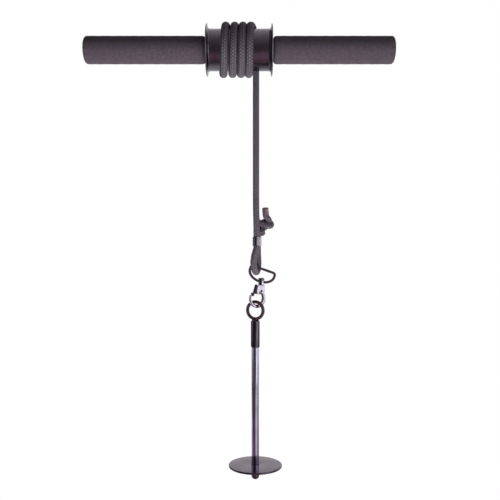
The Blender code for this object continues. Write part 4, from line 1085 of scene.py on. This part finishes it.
def makeGate(s):
    # Pressed lever: web, arm that closes on the nose, ribbed thumb end, two cheeks on the rivet
    webIn = s["leftP"] - s["gateP"] - s["play"]
    webOut = webIn - s["web"]
    fall = -0.0008
    rise = math.radians(s["nose"])
    armOut = s["innerP"] + s["inner"] * math.cos(rise) - s["gateP"] + 0.0008
    tip = -s["bowlDrop"] + s["innerRise"] + s["gateDrop"] + s["inner"] * math.sin(rise) - 0.0006
    lean, thumb = s["gateLean"], s["gateThumb"]
    web = [(webIn + lean * thumb, thumb), (webIn + lean * fall, fall - 0.0012), (armOut + 0.0024, tip + 0.0024),
           (armOut + 0.0022, tip - 0.0002), (armOut + 0.0004, tip + 0.0002), (armOut, tip + 0.0030),
           (armOut - 0.0010, tip + 0.0048), (webOut + lean * fall - 0.0006, fall - 0.0006),
           (webOut + lean * thumb, thumb - 0.0008), (webOut + lean * thumb + 0.0006, thumb)]
    gate = addObject("snap_lever", flatMesh("snap_lever", web, -s["gateThick"] / 2, s["gateThick"] / 2))
    bevelEdges(gate, s["gateEdge"], 2)
    cheek = arc((0, 0), s["gateEye"], 70, -80, 24)
    cheek += [(webIn - 0.0006 + lean * height, height) for height in (fall, -fall)]
    outer = s["slot"] / 2 - s["play"]
    tools = []
    for sign in (-1, 1):
        low, high = sorted((sign * outer, sign * (outer - s["cheek"])))
        tools.append(combine(gate, flatMesh("cheek", cheek, low, high), 'UNION'))
    for number in range(s["ribs"]):
        height = thumb - 0.0016 - s["ribGap"] * number
        spot = acrossHook((webOut + lean * height - 0.0002, height))
        tools.append(combine(gate, rodMesh("rib", s["ribRadius"], -0.0045, 0.0045, 16, spot), 'DIFFERENCE'))
    hole = rodMesh("hole", s["rivet"] + s["play"], -s["through"], s["through"], 32, acrossHook((0, 0)))
    tools.append(combine(gate, hole, 'DIFFERENCE'))
    soften(gate, tools, *s["gateMelt"])
    setDown(gate, hookPlace @ Matrix.Translation((s["gateP"], 0, -s["gateDrop"])))
    dress(gate, "gate", "gateSteel", ["gate_lever"])


makeHook(hookSet)
makeRivet(hookSet)
makeGate(hookSet)
print("hook made")


# Loading pin: welded eye on a socket, rod, weight plate, cap nut
pinSet = {"hang": (0.023339, 0.028177, -0.371211), "eye": 0.0127, "wire": 0.0025, "yaw": -25, "socket": 0.00675,
          "socketLength": 0.039, "rod": 0.0057, "rodLength": 0.1762, "stud": 0.004, "plate": 0.040,
          "plateThick": 0.003, "recess": 0.001, "cap": 0.0059, "capLength": 0.019, "gap": 0.0003,
          "socketBore": 0.024, "studLength": 0.0145, "studRise": 0.022, "capBore": 0.013, "melt": (0.00028, 6)}


def makeEye(low, place, s):
    upright = Matrix.Translation((0, 0, low + s["eye"] + s["wire"])) @ Matrix.Rotation(math.radians(s["yaw"]), 4, 'Z')
    upright = upright @ Matrix.Rotation(math.pi / 2, 4, 'X')
    wire = arc((s["eye"], 0), s["wire"], 0, 350, 35)
    eye = addObject("eye_bent", turnedMesh("eye_bent", wire, 120, upright, True))
    weld = [(0, low - s["gap"]), (s["socket"] - 0.0005, low - s["gap"]), (s["socket"] - 0.0010, low + 0.0002),
            (s["wire"] + 0.0016, low + 0.0009), (s["wire"] + 0.0004, low + 0.0024), (0, low + 0.0026)]
    soften(eye, [combine(eye, turnedMesh("weld", rounded(weld, 0.0006), 64), 'UNION')], *s["melt"])
    setDown(eye, place)
    dress(eye, "pin", "wirePaint", ["eye_ring"])


def makePin(s):
    # From the eye down, each part a gap below the one above
    place = Matrix.Translation(s["hang"])
    gap, stud, rod = s["gap"], s["stud"], s["rod"]
    bore = stud + gap
    low = -2 * s["eye"]
    top = low - 2 * gap
    foot = top - s["socketLength"]
    rodTop = foot - gap
    rodFoot = rodTop - s["rodLength"]
    floor = rodFoot - gap
    plateTop = floor + s["recess"]
    plateFoot = plateTop - s["plateThick"]
    capTop = plateFoot - gap
    capFoot = capTop - s["capLength"]
    deep, inside, hollow = foot + s["socketBore"], rodFoot - s["studLength"], capTop - s["capBore"]
    above = rodTop + s["studRise"]
    socketRows = [(0, deep), (bore, deep), (bore, foot), (s["socket"], foot), (s["socket"], top), (0, top)]
    rodRows = [(0, inside), (stud, inside), (stud, rodFoot), (rod, rodFoot), (rod, rodTop), (stud, rodTop),
               (stud, above), (0, above)]
    plateRows = [(bore, plateFoot), (s["plate"], plateFoot), (s["plate"], plateTop), (rod + gap, plateTop),
                 (rod + gap, floor), (bore, floor)]
    capRows = rounded([(0, hollow), (bore, hollow), (bore, capTop), (s["cap"], capTop)], 0.0006)
    capRows += arc((0, capFoot + s["cap"]), s["cap"], 0, -90, 20)[:-1] + [(0, capFoot)]
    makeEye(low, place, s)
    for name, rows, sides, closed, metal, node in (
            ("socket_turned", rounded(socketRows, 0.0007, 5), 128, False, "socketChrome", "eye_socket"),
            ("rod_polished", rounded(rodRows, 0.0006, 5), 128, False, "pinChrome", "pin_rod"),
            ("plate_turned", rounded(plateRows, 0.0012, 6, True), 256, True, "plateChrome", "base_plate"),
            ("cap_domed", capRows, 128, False, "drumChrome", "cap_nut")):
        shadedPiece(name, turnedMesh(name, rows, sides, place, closed), "pin", metal, [node])


makePin(pinSet)
print("loading pin made")


# The solids that stay as they are get their finish
for nodeName in ("bar_tube", "hub_left", "hub_right", "hub_pin_left", "hub_pin_right", "rope_stop", "gate_spring"):
    paint(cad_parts[nodeName], "tubeSteel")


# White room: a floor and backdrop in one sweep, and a card at table height that the camera doesn't see, which shows
# the metal painted reflections
roomSet = {
    "front": -3.0, "back": 1.6, "half": 3.2, "top": 3.4, "bend": 0.6, "table": -0.74,
    "floor": -1.34,  # deep enough for the rope at its full length
    "paper": 0.86, "under": 0.85, "whiteFrom": (0.1, 0.3), "span": (-3.0, 1.0),
    "farLeft": (-0.6, -1.2, (0.14, 0.12, 0.15)),
    "left": ((-2.40, (0.10, 0.08, 0.08)), (-0.30, (0.07, 0.05, 0.06)), (-0.03, (0.28, 0.26, 0.28)),
             (0.05, (0.58, 0.56, 0.62)), (0.50, (0.85, 0.84, 0.88)), (1.0, (1.0, 1.0, 1.0))),
    "plain": ((-2.40, (0.21, 0.17, 0.18)), (-1.24, (0.49, 0.35, 0.40)), (-0.65, (0.72, 0.45, 0.60)),
              (-0.32, (0.62, 0.34, 0.46)), (-0.12, (0.30, 0.22, 0.27)), (0.05, (0.26, 0.21, 0.24)),
              (0.27, (0.50, 0.46, 0.48)), (0.70, (0.95, 0.95, 0.95)), (1.0, (1.0, 1.0, 1.0))),
    # Painted reflection zones of the table card
    # To the right of "left" lie "plain", a white card and "plain" again. Each begins at its edges:
    # a share of X, a share of Y, and where their sum starts and ends the change
    "zones": (((1, -0.065, -0.075, -0.045),), ((1, 0.5, 0.03, 0.06),), ((0.42, 1, -0.02, 0.03), (1, 0, 0.0, 0.03))),
}
worldSet = {
    "span": (-1.0, 1.0), "ambient": (0.06, 0.053, 0.055),
    "across": ((-1.0, (0.55, 0.55, 0.60)), (-0.85, (0.50, 0.50, 0.55)), (-0.65, (0.22, 0.20, 0.22)),
               (-0.20, (0.22, 0.20, 0.22)), (-0.10, (1.0, 1.0, 1.0))),
    "along": ((-1.0, (0.20, 0.18, 0.19)), (-0.93, (0.30, 0.28, 0.29)), (-0.75, (0.38, 0.36, 0.38)),
              (-0.47, (0.55, 0.54, 0.56)), (-0.05, (0.84, 0.84, 0.87)), (0.39, (1.0, 1.0, 1.0))),
}
lampSets = {
    "lampTop": {"place": (0.2, -0.3, 1.8), "aim": (0, 0, -0.1), "size": (1.8, 1.4), "power": 0.3},
    "lampLeft": {"place": (-1.6, -0.1, -0.2), "aim": (0, 0, -0.3), "size": (0.8, 1.5), "power": 2,
                 "tint": (0.98, 0.97, 1.0)},
    # A card for the metal
    "lampRight": {"place": (1.23, -1.03, -0.3), "aim": (0, 0, -0.3), "size": (1.5, 1.3), "power": 5.9,
                  "tint": (0.98, 0.97, 1.0), "off": "visible_diffuse"},
    "lampFront": {"place": (0.9, -1.3, -0.5), "aim": (0, 0, -0.1), "size": (0.9, 0.6), "power": 3,
                  "tint": (0.99, 0.97, 1.0), "off": "visible_glossy"},
    "lampBack": {"place": (0.2, 1.3, 0.6), "aim": (0, 0, -0.2), "size": (1.6, 1.2), "power": 12,
                 "off": "visible_glossy"},
    # Stands for light thrown up by a table
    "lampLow": {"place": (0.0, -0.32, -0.73), "aim": (0, 0, 0), "size": (0.9, 0.5), "power": 9.0,
                "tint": (1.0, 0.94, 1.0), "off": "visible_glossy"},
}


def spanRamp(tree, value, span, stops):
    low, high = span
    share = remap(tree, value, low, high)
    return ramp(tree, share, [((spot - low) / (high - low), colour) for spot, colour in stops])


def tableGloss(tree, spot, s):
    # Painted reflection in the table card for the metal: white behind the object, falling off in front of it and
    # darker to the left, with a white card to the right
    start, end, colour = s["farLeft"]
    left, plain = (spanRamp(tree, spot["Y"], s["span"], s[part]) for part in ("left", "plain"))
    gloss = colourMix(tree, remap(tree, spot["X"], start, end), left, colour)
    for edges, colour in zip(s["zones"], (plain, (1, 1, 1), plain)):
        share = 1.0
        for partX, partY, start, end in edges:
            across = reckon(tree, 'MULTIPLY_ADD', spot["X"], partX, reckon(tree, 'MULTIPLY', spot["Y"], partY))
            share = reckon(tree, 'MULTIPLY', share, remap(tree, across, start, end))
        gloss = colourMix(tree, share, gloss, colour)
    return gloss


def makePaper(s):
    # The camera sees white far off, and under the object the lit paper with a share of white added
    paper, tree, shader = newMaterial("paper")
    seen = addNode(tree, 'ShaderNodeLightPath').outputs
    spot = addNode(tree, 'ShaderNodeSeparateXYZ', {"Vector": objectPlace(tree)}).outputs
    pale = ((0.3, (s["paper"],) * 3), (0.7, (s["paper"] + 0.02,) * 3))
    feed(tree, shader, {"Base Color": ramp(tree, noise(tree, objectPlace(tree), 6.0, 2.0), pale), "Roughness": 0.9})
    inputs = {"Color": (*(s["under"],) * 3, 1), "Strength": seen["Is Camera Ray"]}
    glow = addNode(tree, 'ShaderNodeEmission', inputs).outputs["Emission"]
    lit = addNode(tree, 'ShaderNodeAddShader', {0: shader.outputs["BSDF"], 1: glow}).outputs["Shader"]
    # Glossy rays see the painted reflection colours, the camera sees white
    shown = colourMix(tree, seen["Is Camera Ray"], tableGloss(tree, spot, s), (1, 1, 1))
    plain = addNode(tree, 'ShaderNodeEmission', {"Color": shown, "Strength": 1.0}).outputs["Emission"]
    away = remap(tree, spot["Y"], *s["whiteFrom"])
    share = reckon(tree, 'MULTIPLY_ADD', seen["Is Camera Ray"], away, seen["Is Glossy Ray"])
    share = reckon(tree, 'MAXIMUM', share, seen["Is Transmission Ray"])
    mixed = addNode(tree, 'ShaderNodeMixShader', {0: share, 1: lit, 2: plain}).outputs["Shader"]
    feed(tree, tree.nodes["Material Output"], {"Surface": mixed})
    return paper


def makeSheet(name, level, back, s):
    rows = [(s["front"], level), (0.0, level)]
    rows += arc((back - s["bend"], level + s["bend"]), s["bend"], -90, 0, 16)
    rows += [(back, s["top"])]
    verts = [(x, y, z) for y, z in rows for x in (-s["half"], s["half"])]
    faces = [(2 * n, 2 * n + 1, 2 * n + 3, 2 * n + 2) for n in range(len(rows) - 1)]
    mesh = bpy.data.meshes.new(name)
    mesh.from_pydata(verts, [], faces)
    mesh.shade_smooth()
    mesh.materials.append(paper)
    return addObject(name, mesh)


def makeLamp(name, s):
    data = bpy.data.lights.new(name, 'AREA')
    data.shape = 'RECTANGLE'
    data.size, data.size_y = s["size"]
    data.energy = s["power"]
    data.color = s.get("tint", (1, 1, 1))
    lamp = bpy.data.objects.new(name, data)
    lamp.location = s["place"]
    lamp.rotation_euler = (Vector(s["aim"]) - Vector(s["place"])).to_track_quat('-Z', 'Y').to_euler()
    lamp.visible_camera = False
    if "off" in s:
        setattr(lamp, s["off"], False)
    scene.collection.objects.link(lamp)


def makeWorld(s):
    world = bpy.data.worlds.new("room")
    world.use_nodes = True
    tree = world.node_tree
    place = addNode(tree, 'ShaderNodeTexCoord').outputs["Generated"]
    toward = addNode(tree, 'ShaderNodeSeparateXYZ', {"Vector": place}).outputs
    seen = addNode(tree, 'ShaderNodeLightPath').outputs
    gloss = colourMix(tree, 1.0, spanRamp(tree, toward["Y"], s["span"], s["along"]),
                      spanRamp(tree, toward["X"], s["span"], s["across"]), 'MULTIPLY')
    mirrored = reckon(tree, 'MAXIMUM', seen["Is Glossy Ray"], seen["Is Transmission Ray"])
    whole = colourMix(tree, seen["Is Camera Ray"], colourMix(tree, mirrored, s["ambient"], gloss), (1, 1, 1))
    feed(tree, tree.nodes["Background"], {"Color": whole})
    scene.world = world


paper = makePaper(roomSet)
backdrop = makeSheet("backdrop", roomSet["floor"], roomSet["back"] + 0.05, roomSet)
tableCard = makeSheet("tableCard", roomSet["table"], roomSet["back"], roomSet)
tableCard.visible_camera = tableCard.visible_shadow = False
for lampName, lampSet in lampSets.items():
    makeLamp(lampName, lampSet)
makeWorld(worldSet)
scene.view_settings.view_transform = 'Standard'
print("room and lamps made")
